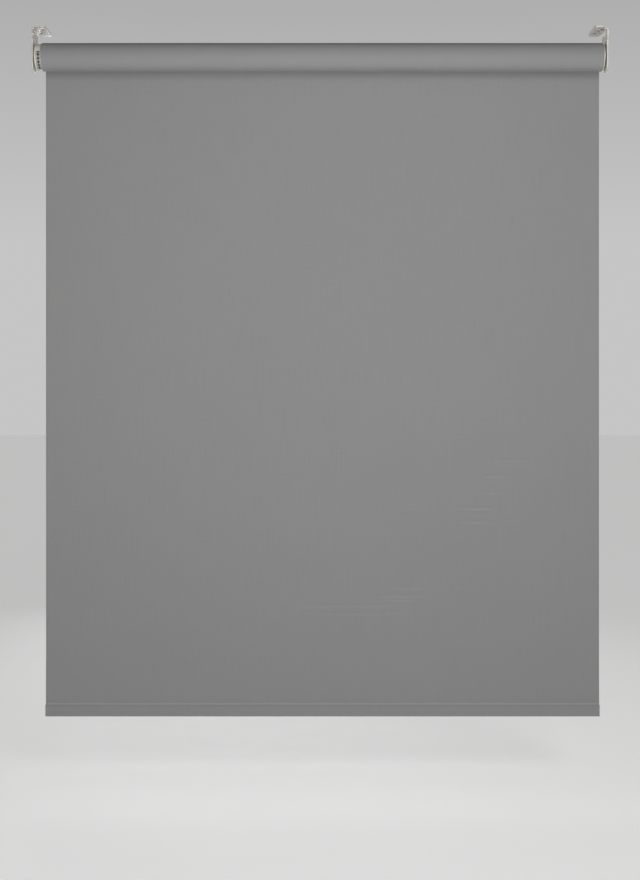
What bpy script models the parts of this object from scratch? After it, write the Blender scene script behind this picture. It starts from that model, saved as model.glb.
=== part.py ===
"""A roller blind in its lowered position, as separate pieces.

Metres. The origin is on the ceiling, midway between the brackets: X runs along the roller, -Y is the room
and +Z is up. The left end holds the chain clutch and the right end holds a sprung idle pin.
"""

import math

import bmesh
import bpy
from mathutils import Euler, Vector

# ---- Driving dimensions -------------------------------------------------------------------------------

OVERALL_WIDTH = 1.000
OVERALL_DROP = 1.203
AXIS_DROP = 0.047
FIT = 0.0003

PLATE_THICKNESS = 0.0025
PLATE_DEPTH = 0.040
PLATE_BELOW_AXIS = 0.0255
SHOULDER_DROP = 0.020
SHOULDER_TAPER = 0.007
FOOT_LENGTH = 0.026
FOOT_DEPTH = 0.064
FOOT_CORNER_RADIUS = 0.008
BEND_RADIUS = 0.004
SCREW_HOLE_RADIUS = 0.0024
PILOT_HOLE_RADIUS = 0.0015
SCREW_HOLE_INSET = 0.0137
SCREW_HOLE_STEP = (-0.0041, 0.0130)
SIDE_HOLE_DROP = 0.011
SIDE_HOLE_SPREAD = 0.016

TUBE_RADIUS = 0.0225
TUBE_WALL = 0.0013
SPLINE_RADIUS = 0.0017
SPLINE_SLOT = 0.0020
FABRIC_THICKNESS = 0.00048
TURNS_LEFT_ON_TUBE = 3

CORE_FLANGE_RADIUS = 0.015
CORE_FLANGE_THICKNESS = 0.0018
CORE_BOSS_SIDE = 0.0096
GUARD_SEAT_SIDE = 0.017
POST_RADIUS = 0.006
GUARD_DISC_THICKNESS = 0.003
GUARD_WALL = 0.002
GUARD_WHEEL_GAP = 0.0006
GUARD_LIP = 0.0004
GUARD_HOOD_ANGLE = math.radians(118)
WHEEL_WIDTH = 0.0067
WHEEL_RIM = 0.0012
BEAD_PITCH = 0.006
BEAD_RADIUS = 0.00235
BEAD_POCKETS = 20
LINK_GROOVE_WIDTH = 0.0014
LINK_GROOVE_DEPTH = 0.0012
COLLAR_WALL = 0.0023
COLLAR_GAP_ANGLE = math.radians(110)
WRAP_SPRING_WIRE = 0.0006
WRAP_SPRING_PITCH = 0.0016
WRAP_SPRING_TURNS = 5
WRAP_SPRING_TANG = 0.0024
WRAP_TANG_ANGLE = math.radians(35)
SLEEVE_FLANGE_THICKNESS = 0.001
SLEEVE_END_WALL = 0.002
SLEEVE_RIB_ANGLE = math.radians(36)
WASHER_RADIUS = 0.009
WASHER_THICKNESS = 0.0012
CORE_SCREW_RADIUS = 0.0015
CORE_SCREW_HEAD_RADIUS = 0.0035
CORE_SCREW_HEAD_HEIGHT = 0.002
CORE_SCREW_LENGTH = 0.011

BUSH_COLLAR_RADIUS = 0.010
BUSH_COLLAR_THICKNESS = 0.0019
BUSH_RADIUS = 0.008
BUSH_FRONT_WALL = 0.002
PLUG_FLANGE_THICKNESS = 0.002
PLUG_FLANGE_RADIUS = 0.022
PLUG_LENGTH = 0.0226
CIRCLIP_THICKNESS = 0.0012
CIRCLIP_GROOVE_DEPTH = 0.0008
CIRCLIP_RADIUS = 0.0100
CIRCLIP_OPENING = math.radians(50)
PIN_RADIUS = 0.003
PIN_COLLAR_RADIUS = 0.005
PIN_COLLAR_THICKNESS = 0.002
PIN_TAIL_RADIUS = 0.002
PIN_TIP_CHAMFER = 0.0005
PIN_SPRING_WIRE = 0.00035
PIN_SPRING_TURNS = 7
CIRCLIP_SHOULDER = 0.002
BUSH_CAP_SPIGOT = 0.002
BUSH_CAP_HEAD = 0.0015

BAR_HEIGHT = 0.019
BAR_THICKNESS = 0.004
BAR_WALL = 0.001
BAR_CAP_FLANGE = 0.0015
BAR_CAP_TONGUE = 0.012
HEM_HEIGHT = 0.024

ROUND_STEPS = 48
SMALL_ROUND_STEPS = 24
BEND_STEPS = 6
CORNER_STEPS = 8
COIL_STEPS_PER_TURN = 14
SHARP_ANGLE = math.radians(35)
LIGHTENING_HOLES = 5
LIGHTENING_HOLE_STEP = math.radians(55)
LIGHTENING_HOLE_SHARE = 0.3
PLATE_CORNER_SHARE = 0.7
CUT_MARGIN = 0.002
JOIN_OVERLAP = 0.0002
MERGE_DISTANCE = 0.00001

# ---- Places that follow from them ---------------------------------------------------------------------

AXIS_Z = -AXIS_DROP
LEFT_FACE = -OVERALL_WIDTH / 2
RIGHT_FACE = OVERALL_WIDTH / 2

CORE_FLANGE_START = LEFT_FACE + PLATE_THICKNESS + FIT
CORE_FLANGE_END = CORE_FLANGE_START + CORE_FLANGE_THICKNESS
GUARD_START = CORE_FLANGE_END + FIT
GUARD_END = GUARD_START + GUARD_DISC_THICKNESS
WHEEL_START = GUARD_END + FIT
WHEEL_END = WHEEL_START + WHEEL_WIDTH
SLEEVE_START = WHEEL_END + FIT
SLEEVE_FLANGE_END = SLEEVE_START + SLEEVE_FLANGE_THICKNESS
TUBE_START = SLEEVE_FLANGE_END + FIT

WHEEL_PITCH_RADIUS = BEAD_PITCH / (2 * math.sin(math.pi / BEAD_POCKETS))
WHEEL_RADIUS = WHEEL_PITCH_RADIUS + WHEEL_RIM
GUARD_INNER_RADIUS = WHEEL_RADIUS + GUARD_WHEEL_GAP
GUARD_RADIUS = GUARD_INNER_RADIUS + GUARD_WALL

WRAP_SPRING_RADIUS = POST_RADIUS + FIT + WRAP_SPRING_WIRE
COLLAR_INNER_RADIUS = WRAP_SPRING_RADIUS + WRAP_SPRING_WIRE + FIT
COLLAR_RADIUS = COLLAR_INNER_RADIUS + COLLAR_WALL
SLEEVE_BORE_RADIUS = COLLAR_RADIUS + FIT
WRAP_SPRING_LENGTH = WRAP_SPRING_TURNS * WRAP_SPRING_PITCH + 2 * WRAP_SPRING_WIRE
WRAP_SPRING_STARTS = [WHEEL_END + FIT + n * (WRAP_SPRING_LENGTH + FIT) for n in range(2)]
COLLAR_END = WRAP_SPRING_STARTS[1] + WRAP_SPRING_LENGTH
SLEEVE_WALL_START = COLLAR_END + 2 * FIT
SLEEVE_END = SLEEVE_WALL_START + SLEEVE_END_WALL
POST_END = SLEEVE_END + FIT
WASHER_START = POST_END + FIT
SCREW_HEAD_START = WASHER_START + WASHER_THICKNESS + FIT

BUSH_START = RIGHT_FACE - PLATE_THICKNESS - 2 * FIT
BUSH_COLLAR_END = BUSH_START - BUSH_COLLAR_THICKNESS
PLUG_START = BUSH_COLLAR_END - FIT
PLUG_FLANGE_END = PLUG_START - PLUG_FLANGE_THICKNESS
TUBE_END = PLUG_FLANGE_END - FIT
PLUG_END = PLUG_START - PLUG_LENGTH
CIRCLIP_START = PLUG_END - FIT
CIRCLIP_END = CIRCLIP_START - CIRCLIP_THICKNESS
BUSH_BORE_START = BUSH_COLLAR_END - BUSH_FRONT_WALL
BUSH_END = CIRCLIP_END - FIT - CIRCLIP_SHOULDER
BUSH_BORE_RADIUS = PIN_COLLAR_RADIUS + FIT
PIN_TIP = RIGHT_FACE - FIT
PIN_COLLAR_START = BUSH_BORE_START - FIT
PIN_COLLAR_END = PIN_COLLAR_START - PIN_COLLAR_THICKNESS
SPIGOT_FACE = BUSH_END + BUSH_CAP_SPIGOT
PIN_END = (PIN_COLLAR_END + SPIGOT_FACE) / 2
PIN_SPRING_START = PIN_COLLAR_END - FIT - PIN_SPRING_WIRE
PIN_SPRING_END = SPIGOT_FACE + FIT + PIN_SPRING_WIRE
PIN_SPRING_RADIUS = PIN_TAIL_RADIUS + 2 * FIT + PIN_SPRING_WIRE

TUBE_INNER_RADIUS = TUBE_RADIUS - TUBE_WALL
CHANNEL_HALF_WIDTH = SPLINE_RADIUS + FIT
CHANNEL_FLOOR = TUBE_INNER_RADIUS - 2 * CHANNEL_HALF_WIDTH
KEY_HALF_WIDTH = CHANNEL_HALF_WIDTH + TUBE_WALL
KEY_FACE = CHANNEL_FLOOR - TUBE_WALL
PLUG_RADIUS = TUBE_INNER_RADIUS - FIT

ROLL_INNER_RADIUS = TUBE_RADIUS + FIT
ROLL_RADIUS = ROLL_INNER_RADIUS + TURNS_LEFT_ON_TUBE * FABRIC_THICKNESS
SHEET_Y = ROLL_RADIUS + FIT + FABRIC_THICKNESS / 2
HEM_BOTTOM_Z = -OVERALL_DROP
HEM_TOP_Z = HEM_BOTTOM_Z + HEM_HEIGHT
SHEET_BOTTOM_Z = HEM_TOP_Z + FIT
POCKET_INNER_RADIUS = BAR_THICKNESS / 2 + FIT
POCKET_RADIUS = POCKET_INNER_RADIUS + FABRIC_THICKNESS
POCKET_Y = SHEET_Y + FABRIC_THICKNESS / 2 - POCKET_RADIUS
BAR_Z = HEM_BOTTOM_Z + FABRIC_THICKNESS + FIT + BAR_HEIGHT / 2

# Turns a shape drawn in its own XY plane, or turned about its own Z, to stand across the world's X axis:
# its X becomes the world's Y, its Y becomes Z and its Z becomes X.
ACROSS_X = (math.pi / 2, 0.0, math.pi / 2)
# Turns a shape drawn in its own XY plane to stand in the world's XZ plane.
UPRIGHT = (math.pi / 2, 0.0, 0.0)


# ---- Building blocks ----------------------------------------------------------------------------------


def new_collection(name):
    collection = bpy.data.collections.new(name)
    bpy.context.scene.collection.children.link(collection)
    return collection


def new_material(name, colour, roughness, metallic=0.0):
    material = bpy.data.materials.new(name)
    material.use_nodes = True
    shader = material.node_tree.nodes["Principled BSDF"]
    shader.inputs["Base Color"].default_value = (*colour, 1.0)
    shader.inputs["Roughness"].default_value = roughness
    shader.inputs["Metallic"].default_value = metallic
    return material


def new_empty(name, location, turned=(0.0, 0.0, 0.0)):
    """A frame that the pieces of one body are placed in."""
    empty = bpy.data.objects.new(name, None)
    empty.empty_display_size = 0.02
    empty.location = location
    empty.rotation_euler = turned
    parts.objects.link(empty)
    return empty


def arc(radius, start, end, steps, centre=(0.0, 0.0)):
    """Points along an arc, both ends included."""
    turns = [start + (end - start) * n / steps for n in range(steps + 1)]
    return [(centre[0] + radius * math.cos(t), centre[1] + radius * math.sin(t)) for t in turns]


def circle(radius, centre=(0.0, 0.0), steps=ROUND_STEPS):
    return arc(radius, 0.0, math.tau, steps, centre)[:-1]


def square(side):
    half = side / 2
    return [(half, half), (-half, half), (-half, -half), (half, -half)]


def stadium(height, width):
    """An upright slot shape with round ends."""
    radius = width / 2
    rise = height / 2 - radius
    top = arc(radius, 0.0, math.pi, SMALL_ROUND_STEPS // 2, (0.0, rise))
    bottom = arc(radius, math.pi, math.tau, SMALL_ROUND_STEPS // 2, (0.0, -rise))
    return top + bottom


def sector(inner_radius, outer_radius, middle, angle):
    """A piece of a ring, angle wide about the direction called middle."""
    steps = ROUND_STEPS // 2
    outer = arc(outer_radius, middle - angle / 2, middle + angle / 2, steps)
    inner = arc(inner_radius, middle + angle / 2, middle - angle / 2, steps)
    return outer + inner


def notched_circle(radius, half_width, floor):
    """A circle with a straight-sided notch, half_width to each side, cut from the top down to floor."""
    edge = math.acos(half_width / radius)
    round_part = arc(radius, math.pi - edge, math.tau + edge, ROUND_STEPS)
    return round_part + [(half_width, floor), (-half_width, floor)]


def lightening_holes(inner_radius, outer_radius):
    """Round holes in the web between two radii, clear of the key at the top."""
    middle_radius = (inner_radius + outer_radius) / 2
    hole_radius = (outer_radius - inner_radius) * LIGHTENING_HOLE_SHARE
    holes = []
    for n in range(LIGHTENING_HOLES):
        angle = -math.pi / 2 + (n - (LIGHTENING_HOLES - 1) / 2) * LIGHTENING_HOLE_STEP
        centre = (middle_radius * math.cos(angle), middle_radius * math.sin(angle))
        holes.append(circle(hole_radius, centre, SMALL_ROUND_STEPS // 2))
    return holes


def weld(mesh):
    shape = bmesh.new()
    shape.from_mesh(mesh)
    bmesh.ops.remove_doubles(shape, verts=shape.verts, dist=MERGE_DISTANCE)
    shape.to_mesh(mesh)
    shape.free()


def place(thing, parent, location, turned=(0.0, 0.0, 0.0)):
    thing.parent = parent
    thing.location = location
    thing.rotation_euler = turned
    parts.objects.link(thing)


def flat_shape(name, outlines, start, end, parent, material=None, at=(0.0, 0.0), turned=ACROSS_X):
    """A plate whose edge is the first outline and whose holes are the others. The outlines lie in its own
    XY plane about the point called at, and it reaches from start to end along its own Z."""
    curve = bpy.data.curves.new(name, "CURVE")
    curve.dimensions = "2D"
    curve.fill_mode = "BOTH"
    curve.extrude = abs(end - start) / 2
    for outline in outlines:
        spline = curve.splines.new("POLY")
        spline.points.add(len(outline) - 1)
        spline.use_cyclic_u = True
        for point, (across, up) in zip(spline.points, outline):
            point.co = (across, up, 0.0, 1.0)
    drawn = bpy.data.objects.new(name + "_outline", curve)
    parts.objects.link(drawn)
    bpy.context.view_layer.update()
    seen = drawn.evaluated_get(bpy.context.evaluated_depsgraph_get())
    mesh = bpy.data.meshes.new_from_object(seen)
    bpy.data.objects.remove(drawn, do_unlink=True)
    weld(mesh)
    if material:
        mesh.materials.append(material)
        mesh.shade_smooth()
        mesh.set_sharp_from_angle(angle=SHARP_ANGLE)
    thing = bpy.data.objects.new(name, mesh)
    place(thing, parent, Euler(turned).to_matrix() @ Vector((*at, (start + end) / 2)), turned)
    return thing


def turned_shape(name, profile, parent, material=None, ring=False, steps=SMALL_ROUND_STEPS):
    """A piece turned about the roller's axis, from a profile of (x, radius) points. The profile of a ring
    is a closed loop, and any other starts and ends on the axis."""
    origin = profile[0][0]
    points = [(radius, x - origin) for x, radius in profile]
    area = sum(a[0] * b[1] - b[0] * a[1] for a, b in zip(points, points[1:] + points[:1]))
    if area > 0:
        points.reverse()
    edges = [(n, n + 1) for n in range(len(points) - 1)]
    if ring:
        edges.append((len(points) - 1, 0))
    mesh = bpy.data.meshes.new(name)
    mesh.from_pydata([(radius, 0.0, along) for radius, along in points], edges, [])
    if material:
        mesh.materials.append(material)
    thing = bpy.data.objects.new(name, mesh)
    place(thing, parent, (origin, 0.0, 0.0), ACROSS_X)
    screw = thing.modifiers.new("Turned", "SCREW")
    screw.steps = steps
    screw.render_steps = steps
    screw.use_merge_vertices = True
    screw.merge_threshold = MERGE_DISTANCE
    screw.use_smooth_shade = False
    return thing


def combine(target, other, operation):
    """Cuts other out of target, joins it on, or keeps only what the two share."""
    other.hide_render = True
    other.display_type = "WIRE"
    parts.objects.unlink(other)
    cutters.objects.link(other)
    boolean = target.modifiers.new(operation.title(), "BOOLEAN")
    boolean.operation = operation
    boolean.solver = "EXACT"
    boolean.object = other


def coil(name, radius, wire_radius, start, end, turns, first_angle, tang, parent, material):
    """A wire wound about the roller's axis from start to end, with an outward tang at each end."""
    steps = round(turns * COIL_STEPS_PER_TURN)
    route = []
    for n in range(steps + 1):
        angle = first_angle + math.tau * turns * n / steps
        along = start + (end - start) * n / steps
        route.append(Vector((along, radius * math.cos(angle), radius * math.sin(angle))))
    if tang:
        outward = Vector((1.0, 1.0 + tang / radius, 1.0 + tang / radius))
        route = [route[0] * outward] + route + [route[-1] * outward]
    curve = bpy.data.curves.new(name, "CURVE")
    curve.dimensions = "3D"
    curve.bevel_depth = wire_radius
    curve.bevel_resolution = 2
    curve.use_fill_caps = True
    spline = curve.splines.new("POLY")
    spline.points.add(len(route) - 1)
    for point, spot in zip(spline.points, route):
        point.co = (*spot, 1.0)
    curve.materials.append(material)
    place(bpy.data.objects.new(name, curve), parent, (0.0, 0.0, 0.0))


# ---- Brackets -----------------------------------------------------------------------------------------


def bracket_section():
    """The bent strip seen along Y: along the top of the foot, round the bend and down the outer face."""
    bottom = -(AXIS_DROP + PLATE_BELOW_AXIS + CUT_MARGIN)
    reach = FOOT_LENGTH + CUT_MARGIN
    bend = (BEND_RADIUS, -BEND_RADIUS)
    outer = arc(BEND_RADIUS, math.pi / 2, math.pi, BEND_STEPS, bend)
    inner = arc(BEND_RADIUS - PLATE_THICKNESS, math.pi, math.pi / 2, BEND_STEPS, bend)
    free_end = [(0.0, bottom), (PLATE_THICKNESS, bottom)]
    return [(reach, 0.0)] + outer + free_end + inner + [(reach, -PLATE_THICKNESS)]


def bracket_side():
    """The side plate seen along X: as deep as the foot at the top, then narrower, with a round bottom."""
    wide = FOOT_DEPTH / 2
    narrow = PLATE_DEPTH / 2
    taper = -(SHOULDER_DROP + SHOULDER_TAPER)
    corner = PLATE_CORNER_SHARE * narrow
    corner_z = corner - (AXIS_DROP + PLATE_BELOW_AXIS)
    front = arc(corner, -math.pi / 2, -math.pi, CORNER_STEPS, (corner - narrow, corner_z))
    back = arc(corner, 0.0, -math.pi / 2, CORNER_STEPS, (narrow - corner, corner_z))
    top = [(-wide, CUT_MARGIN), (wide, CUT_MARGIN)]
    down = [(wide, -SHOULDER_DROP), (narrow, taper)]
    up = [(-narrow, taper), (-wide, -SHOULDER_DROP)]
    return top + down + back + front + up


def bracket_foot():
    """The foot seen from above, with its two free corners rounded."""
    wide = FOOT_DEPTH / 2
    corner = (FOOT_LENGTH - FOOT_CORNER_RADIUS, wide - FOOT_CORNER_RADIUS)
    front = arc(FOOT_CORNER_RADIUS, -math.pi / 2, 0.0, CORNER_STEPS, (corner[0], -corner[1]))
    back = arc(FOOT_CORNER_RADIUS, 0.0, math.pi / 2, CORNER_STEPS, corner)
    return [(-CUT_MARGIN, -wide)] + front + back + [(-CUT_MARGIN, wide)]


def add_bracket(name, frame, socket, material):
    """A bent steel bracket with its outer face on the frame's YZ plane and its foot along the frame's +X.
    The socket is the outline of the hole that the blind's end sits in."""
    flat = (0.0, 0.0, 0.0)
    half = FOOT_DEPTH / 2 + CUT_MARGIN
    bracket = flat_shape(name, [bracket_section()], -half, half, frame, material, turned=UPRIGHT)
    bracket.data.shade_flat()
    through_plate = (-CUT_MARGIN, PLATE_THICKNESS + CUT_MARGIN)
    through_foot = (-PLATE_THICKNESS - CUT_MARGIN, CUT_MARGIN)
    reach = FOOT_LENGTH + 2 * CUT_MARGIN
    bottom = -(AXIS_DROP + PLATE_BELOW_AXIS + 2 * CUT_MARGIN)
    side = flat_shape(name + "_side", [bracket_side()], -CUT_MARGIN, reach, frame)
    combine(bracket, side, "INTERSECT")
    foot = flat_shape(name + "_foot", [bracket_foot()], bottom, CUT_MARGIN, frame, turned=flat)
    combine(bracket, foot, "INTERSECT")
    for label, step in (("outer", 1), ("middle", 0), ("inner", -1)):
        spot = (SCREW_HOLE_INSET + step * SCREW_HOLE_STEP[0], step * SCREW_HOLE_STEP[1])
        edge = circle(SCREW_HOLE_RADIUS if step else PILOT_HOLE_RADIUS, spot, SMALL_ROUND_STEPS)
        hole = flat_shape(f"{name}_{label}_hole", [edge], *through_foot, frame, turned=flat)
        combine(bracket, hole, "DIFFERENCE")
    for label, spread in (("front", -SIDE_HOLE_SPREAD), ("back", SIDE_HOLE_SPREAD)):
        edge = circle(SCREW_HOLE_RADIUS, (spread, -SIDE_HOLE_DROP), SMALL_ROUND_STEPS)
        hole = flat_shape(f"{name}_{label}_side_hole", [edge], *through_plate, frame)
        combine(bracket, hole, "DIFFERENCE")
    opening = flat_shape(name + "_socket", [socket], *through_plate, frame, at=(0.0, AXIS_Z))
    combine(bracket, opening, "DIFFERENCE")


# ---- Chain clutch, at the left end --------------------------------------------------------------------


def add_clutch_core(axis, material):
    """The still post of the clutch, with a square boss in the bracket and a square seat for the guard."""
    pilot = CORE_SCREW_RADIUS + FIT
    pilot_floor = SCREW_HEAD_START - CORE_SCREW_LENGTH - CORE_SCREW_RADIUS
    profile = [
        (CORE_FLANGE_START, 0.0),
        (CORE_FLANGE_START, CORE_FLANGE_RADIUS),
        (CORE_FLANGE_END, CORE_FLANGE_RADIUS),
        (CORE_FLANGE_END, POST_RADIUS),
        (POST_END, POST_RADIUS),
        (POST_END, pilot),
        (pilot_floor, pilot),
        (pilot_floor, 0.0),
    ]
    core = turned_shape("clutch_core", profile, axis, material)
    boss_ends = (LEFT_FACE + FIT, CORE_FLANGE_START + JOIN_OVERLAP)
    combine(core, flat_shape("clutch_core_boss", [square(CORE_BOSS_SIDE)], *boss_ends, axis), "UNION")
    seat_ends = (CORE_FLANGE_END - JOIN_OVERLAP, GUARD_END)
    combine(core, flat_shape("clutch_core_seat", [square(GUARD_SEAT_SIDE)], *seat_ends, axis), "UNION")


def add_chain_guard(axis, material):
    """The disc behind the chain wheel, and the hood that keeps the chain on it."""
    edges = [circle(GUARD_RADIUS), square(GUARD_SEAT_SIDE + 2 * FIT)]
    guard = flat_shape("chain_guard", edges, GUARD_START, GUARD_END, axis, material)
    edge = sector(GUARD_INNER_RADIUS, GUARD_RADIUS - GUARD_LIP, math.pi / 2, GUARD_HOOD_ANGLE)
    hood = flat_shape("chain_guard_hood", [edge], GUARD_END - JOIN_OVERLAP, WHEEL_END, axis)
    combine(guard, hood, "UNION")


def bead_pockets():
    """One ball for each bead that lies on the wheel, centred on the pitch circle."""
    balls = bmesh.new()
    for n in range(BEAD_POCKETS):
        angle = math.tau * n / BEAD_POCKETS
        centre = Vector((math.cos(angle), math.sin(angle), 0.0)) * WHEEL_PITCH_RADIUS
        made = bmesh.ops.create_uvsphere(balls, u_segments=10, v_segments=6, radius=BEAD_RADIUS)
        bmesh.ops.translate(balls, verts=made["verts"], vec=centre)
    mesh = bpy.data.meshes.new("chain_wheel_pockets")
    balls.to_mesh(mesh)
    balls.free()
    return bpy.data.objects.new("chain_wheel_pockets", mesh)


def add_chain_wheel(axis, material):
    """The pocketed wheel that the chain turns, with the collar that drives the sleeve."""
    middle = (WHEEL_START + WHEEL_END) / 2
    bore = POST_RADIUS + FIT
    floor = WHEEL_RADIUS - LINK_GROOVE_DEPTH
    profile = [
        (WHEEL_START, bore),
        (WHEEL_START, WHEEL_RADIUS),
        (middle - LINK_GROOVE_WIDTH / 2, WHEEL_RADIUS),
        (middle - LINK_GROOVE_WIDTH / 2, floor),
        (middle + LINK_GROOVE_WIDTH / 2, floor),
        (middle + LINK_GROOVE_WIDTH / 2, WHEEL_RADIUS),
        (WHEEL_END, WHEEL_RADIUS),
        (WHEEL_END, bore),
    ]
    wheel = turned_shape("chain_wheel", profile, axis, material, ring=True, steps=ROUND_STEPS)
    pockets = bead_pockets()
    place(pockets, axis, (middle, 0.0, 0.0), ACROSS_X)
    combine(wheel, pockets, "DIFFERENCE")
    edge = sector(COLLAR_INNER_RADIUS, COLLAR_RADIUS, -math.pi / 2, math.tau - COLLAR_GAP_ANGLE)
    collar = flat_shape("chain_wheel_collar", [edge], WHEEL_END - JOIN_OVERLAP, COLLAR_END, axis)
    combine(wheel, collar, "UNION")


def add_wrap_springs(axis, material):
    """Two springs that grip the post. Their tangs lie between the wheel's collar and the sleeve's rib."""
    turns = WRAP_SPRING_TURNS - 2 * WRAP_TANG_ANGLE / math.tau
    first_angle = math.pi / 2 + WRAP_TANG_ANGLE
    for label, start in zip("ab", WRAP_SPRING_STARTS):
        ends = (start + WRAP_SPRING_WIRE, start + WRAP_SPRING_LENGTH - WRAP_SPRING_WIRE)
        coil(
            "wrap_spring_" + label, WRAP_SPRING_RADIUS, WRAP_SPRING_WIRE, *ends,
            turns, first_angle, WRAP_SPRING_TANG, axis, material,
        )


def plug_outline():
    """The outer edge of a plug in the tube, with the notch that the tube's channel keys into."""
    return notched_circle(PLUG_RADIUS, KEY_HALF_WIDTH + FIT, KEY_FACE - FIT)


def add_drive_sleeve(axis, material):
    """The plug in the tube's left end that the wheel's collar turns through its rib."""
    edges = [plug_outline(), circle(SLEEVE_BORE_RADIUS)]
    edges += lightening_holes(SLEEVE_BORE_RADIUS, PLUG_RADIUS)
    sleeve = flat_shape("drive_sleeve", edges, SLEEVE_START + JOIN_OVERLAP, SLEEVE_END, axis, material)
    root = SLEEVE_BORE_RADIUS + SLEEVE_FLANGE_THICKNESS
    flange_profile = [
        (SLEEVE_START, root),
        (SLEEVE_START, TUBE_RADIUS),
        (SLEEVE_FLANGE_END, TUBE_RADIUS),
        (SLEEVE_FLANGE_END, root),
    ]
    flange = turned_shape("drive_sleeve_flange", flange_profile, axis, ring=True, steps=ROUND_STEPS)
    combine(sleeve, flange, "UNION")
    wall_edges = [circle(root), circle(POST_RADIUS + FIT)]
    wall_ends = (SLEEVE_WALL_START, SLEEVE_END - JOIN_OVERLAP)
    combine(sleeve, flat_shape("drive_sleeve_wall", wall_edges, *wall_ends, axis), "UNION")
    rib_edge = sector(COLLAR_INNER_RADIUS + FIT, root, math.pi / 2, SLEEVE_RIB_ANGLE)
    rib_ends = (SLEEVE_FLANGE_END, SLEEVE_WALL_START + JOIN_OVERLAP)
    combine(sleeve, flat_shape("drive_sleeve_rib", [rib_edge], *rib_ends, axis), "UNION")


def add_core_washer_and_screw(axis, material):
    hole = CORE_SCREW_RADIUS + FIT
    washer_edges = [circle(WASHER_RADIUS), circle(hole, steps=SMALL_ROUND_STEPS)]
    washer_ends = (WASHER_START, WASHER_START + WASHER_THICKNESS)
    flat_shape("core_washer", washer_edges, *washer_ends, axis, material)
    head_end = SCREW_HEAD_START + CORE_SCREW_HEAD_HEIGHT
    tip = SCREW_HEAD_START - CORE_SCREW_LENGTH
    profile = [
        (tip, 0.0),
        (tip + CORE_SCREW_RADIUS, CORE_SCREW_RADIUS),
        (SCREW_HEAD_START, CORE_SCREW_RADIUS),
        (SCREW_HEAD_START, CORE_SCREW_HEAD_RADIUS),
        (head_end, CORE_SCREW_HEAD_RADIUS),
        (head_end, 0.0),
    ]
    turned_shape("core_screw", profile, axis, material)


# ---- Roller -------------------------------------------------------------------------------------------


def tube_outline():
    """The tube's outer edge, with the channel that holds the fabric's spline open at the top."""
    lip = TUBE_INNER_RADIUS
    half_slot = SPLINE_SLOT / 2
    edge = math.acos(half_slot / TUBE_RADIUS)
    right = [(half_slot, lip), (CHANNEL_HALF_WIDTH, lip), (CHANNEL_HALF_WIDTH, CHANNEL_FLOOR)]
    left = [(-across, up) for across, up in reversed(right)]
    return arc(TUBE_RADIUS, math.pi - edge, math.tau + edge, ROUND_STEPS) + right + left


def add_roller(axis, tube_material, spline_material, fabric_material):
    inside = notched_circle(TUBE_INNER_RADIUS, KEY_HALF_WIDTH, KEY_FACE)
    flat_shape("roller_tube", [tube_outline(), inside], TUBE_START, TUBE_END, axis, tube_material)
    spline_edge = circle(SPLINE_RADIUS, (0.0, TUBE_INNER_RADIUS - CHANNEL_HALF_WIDTH), SMALL_ROUND_STEPS // 2)
    flat_shape("fabric_spline", [spline_edge], TUBE_START + FIT, TUBE_END - FIT, axis, spline_material)
    roll_edges = [circle(ROLL_RADIUS), circle(ROLL_INNER_RADIUS)]
    flat_shape("fabric_roll", roll_edges, TUBE_START, TUBE_END, axis, fabric_material)


# ---- Idle end, at the right ---------------------------------------------------------------------------


def add_idle_plug(axis, material):
    """The plug in the tube's right end, which turns on the bush."""
    bore = BUSH_RADIUS + FIT
    edges = [plug_outline(), circle(bore)] + lightening_holes(bore, PLUG_RADIUS)
    plug = flat_shape("idle_plug", edges, PLUG_END, PLUG_START - JOIN_OVERLAP, axis, material)
    root = bore + PLUG_FLANGE_THICKNESS / 2
    flange_profile = [
        (PLUG_START, root),
        (PLUG_START, PLUG_FLANGE_RADIUS),
        (PLUG_FLANGE_END, PLUG_FLANGE_RADIUS),
        (PLUG_FLANGE_END, root),
    ]
    flange = turned_shape("idle_plug_flange", flange_profile, axis, ring=True, steps=ROUND_STEPS)
    combine(plug, flange, "UNION")


def add_idle_bush(axis, material):
    """The still bearing that the plug turns on. It is hollow, for the pin and its spring."""
    groove = BUSH_RADIUS - CIRCLIP_GROOVE_DEPTH
    profile = [
        (BUSH_START, PIN_RADIUS + FIT),
        (BUSH_START, BUSH_COLLAR_RADIUS),
        (BUSH_COLLAR_END, BUSH_COLLAR_RADIUS),
        (BUSH_COLLAR_END, BUSH_RADIUS),
        (CIRCLIP_START + FIT, BUSH_RADIUS),
        (CIRCLIP_START + FIT, groove),
        (CIRCLIP_END - FIT, groove),
        (CIRCLIP_END - FIT, BUSH_RADIUS),
        (BUSH_END, BUSH_RADIUS),
        (BUSH_END, BUSH_BORE_RADIUS),
        (BUSH_BORE_START, BUSH_BORE_RADIUS),
        (BUSH_BORE_START, PIN_RADIUS + FIT),
    ]
    turned_shape("idle_bush", profile, axis, material, ring=True)


def add_bush_cap(axis, material):
    seat = BUSH_END - FIT
    profile = [
        (SPIGOT_FACE, 0.0),
        (SPIGOT_FACE, BUSH_BORE_RADIUS - FIT),
        (seat, BUSH_BORE_RADIUS - FIT),
        (seat, BUSH_RADIUS),
        (seat - BUSH_CAP_HEAD, BUSH_RADIUS),
        (seat - BUSH_CAP_HEAD, 0.0),
    ]
    turned_shape("bush_cap", profile, axis, material)


def add_circlip(axis, material):
    inner_radius = BUSH_RADIUS - CIRCLIP_GROOVE_DEPTH + FIT
    edge = sector(inner_radius, CIRCLIP_RADIUS, math.pi / 2, math.tau - CIRCLIP_OPENING)
    flat_shape("idle_circlip", [edge], CIRCLIP_START, CIRCLIP_END, axis, material)


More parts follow.
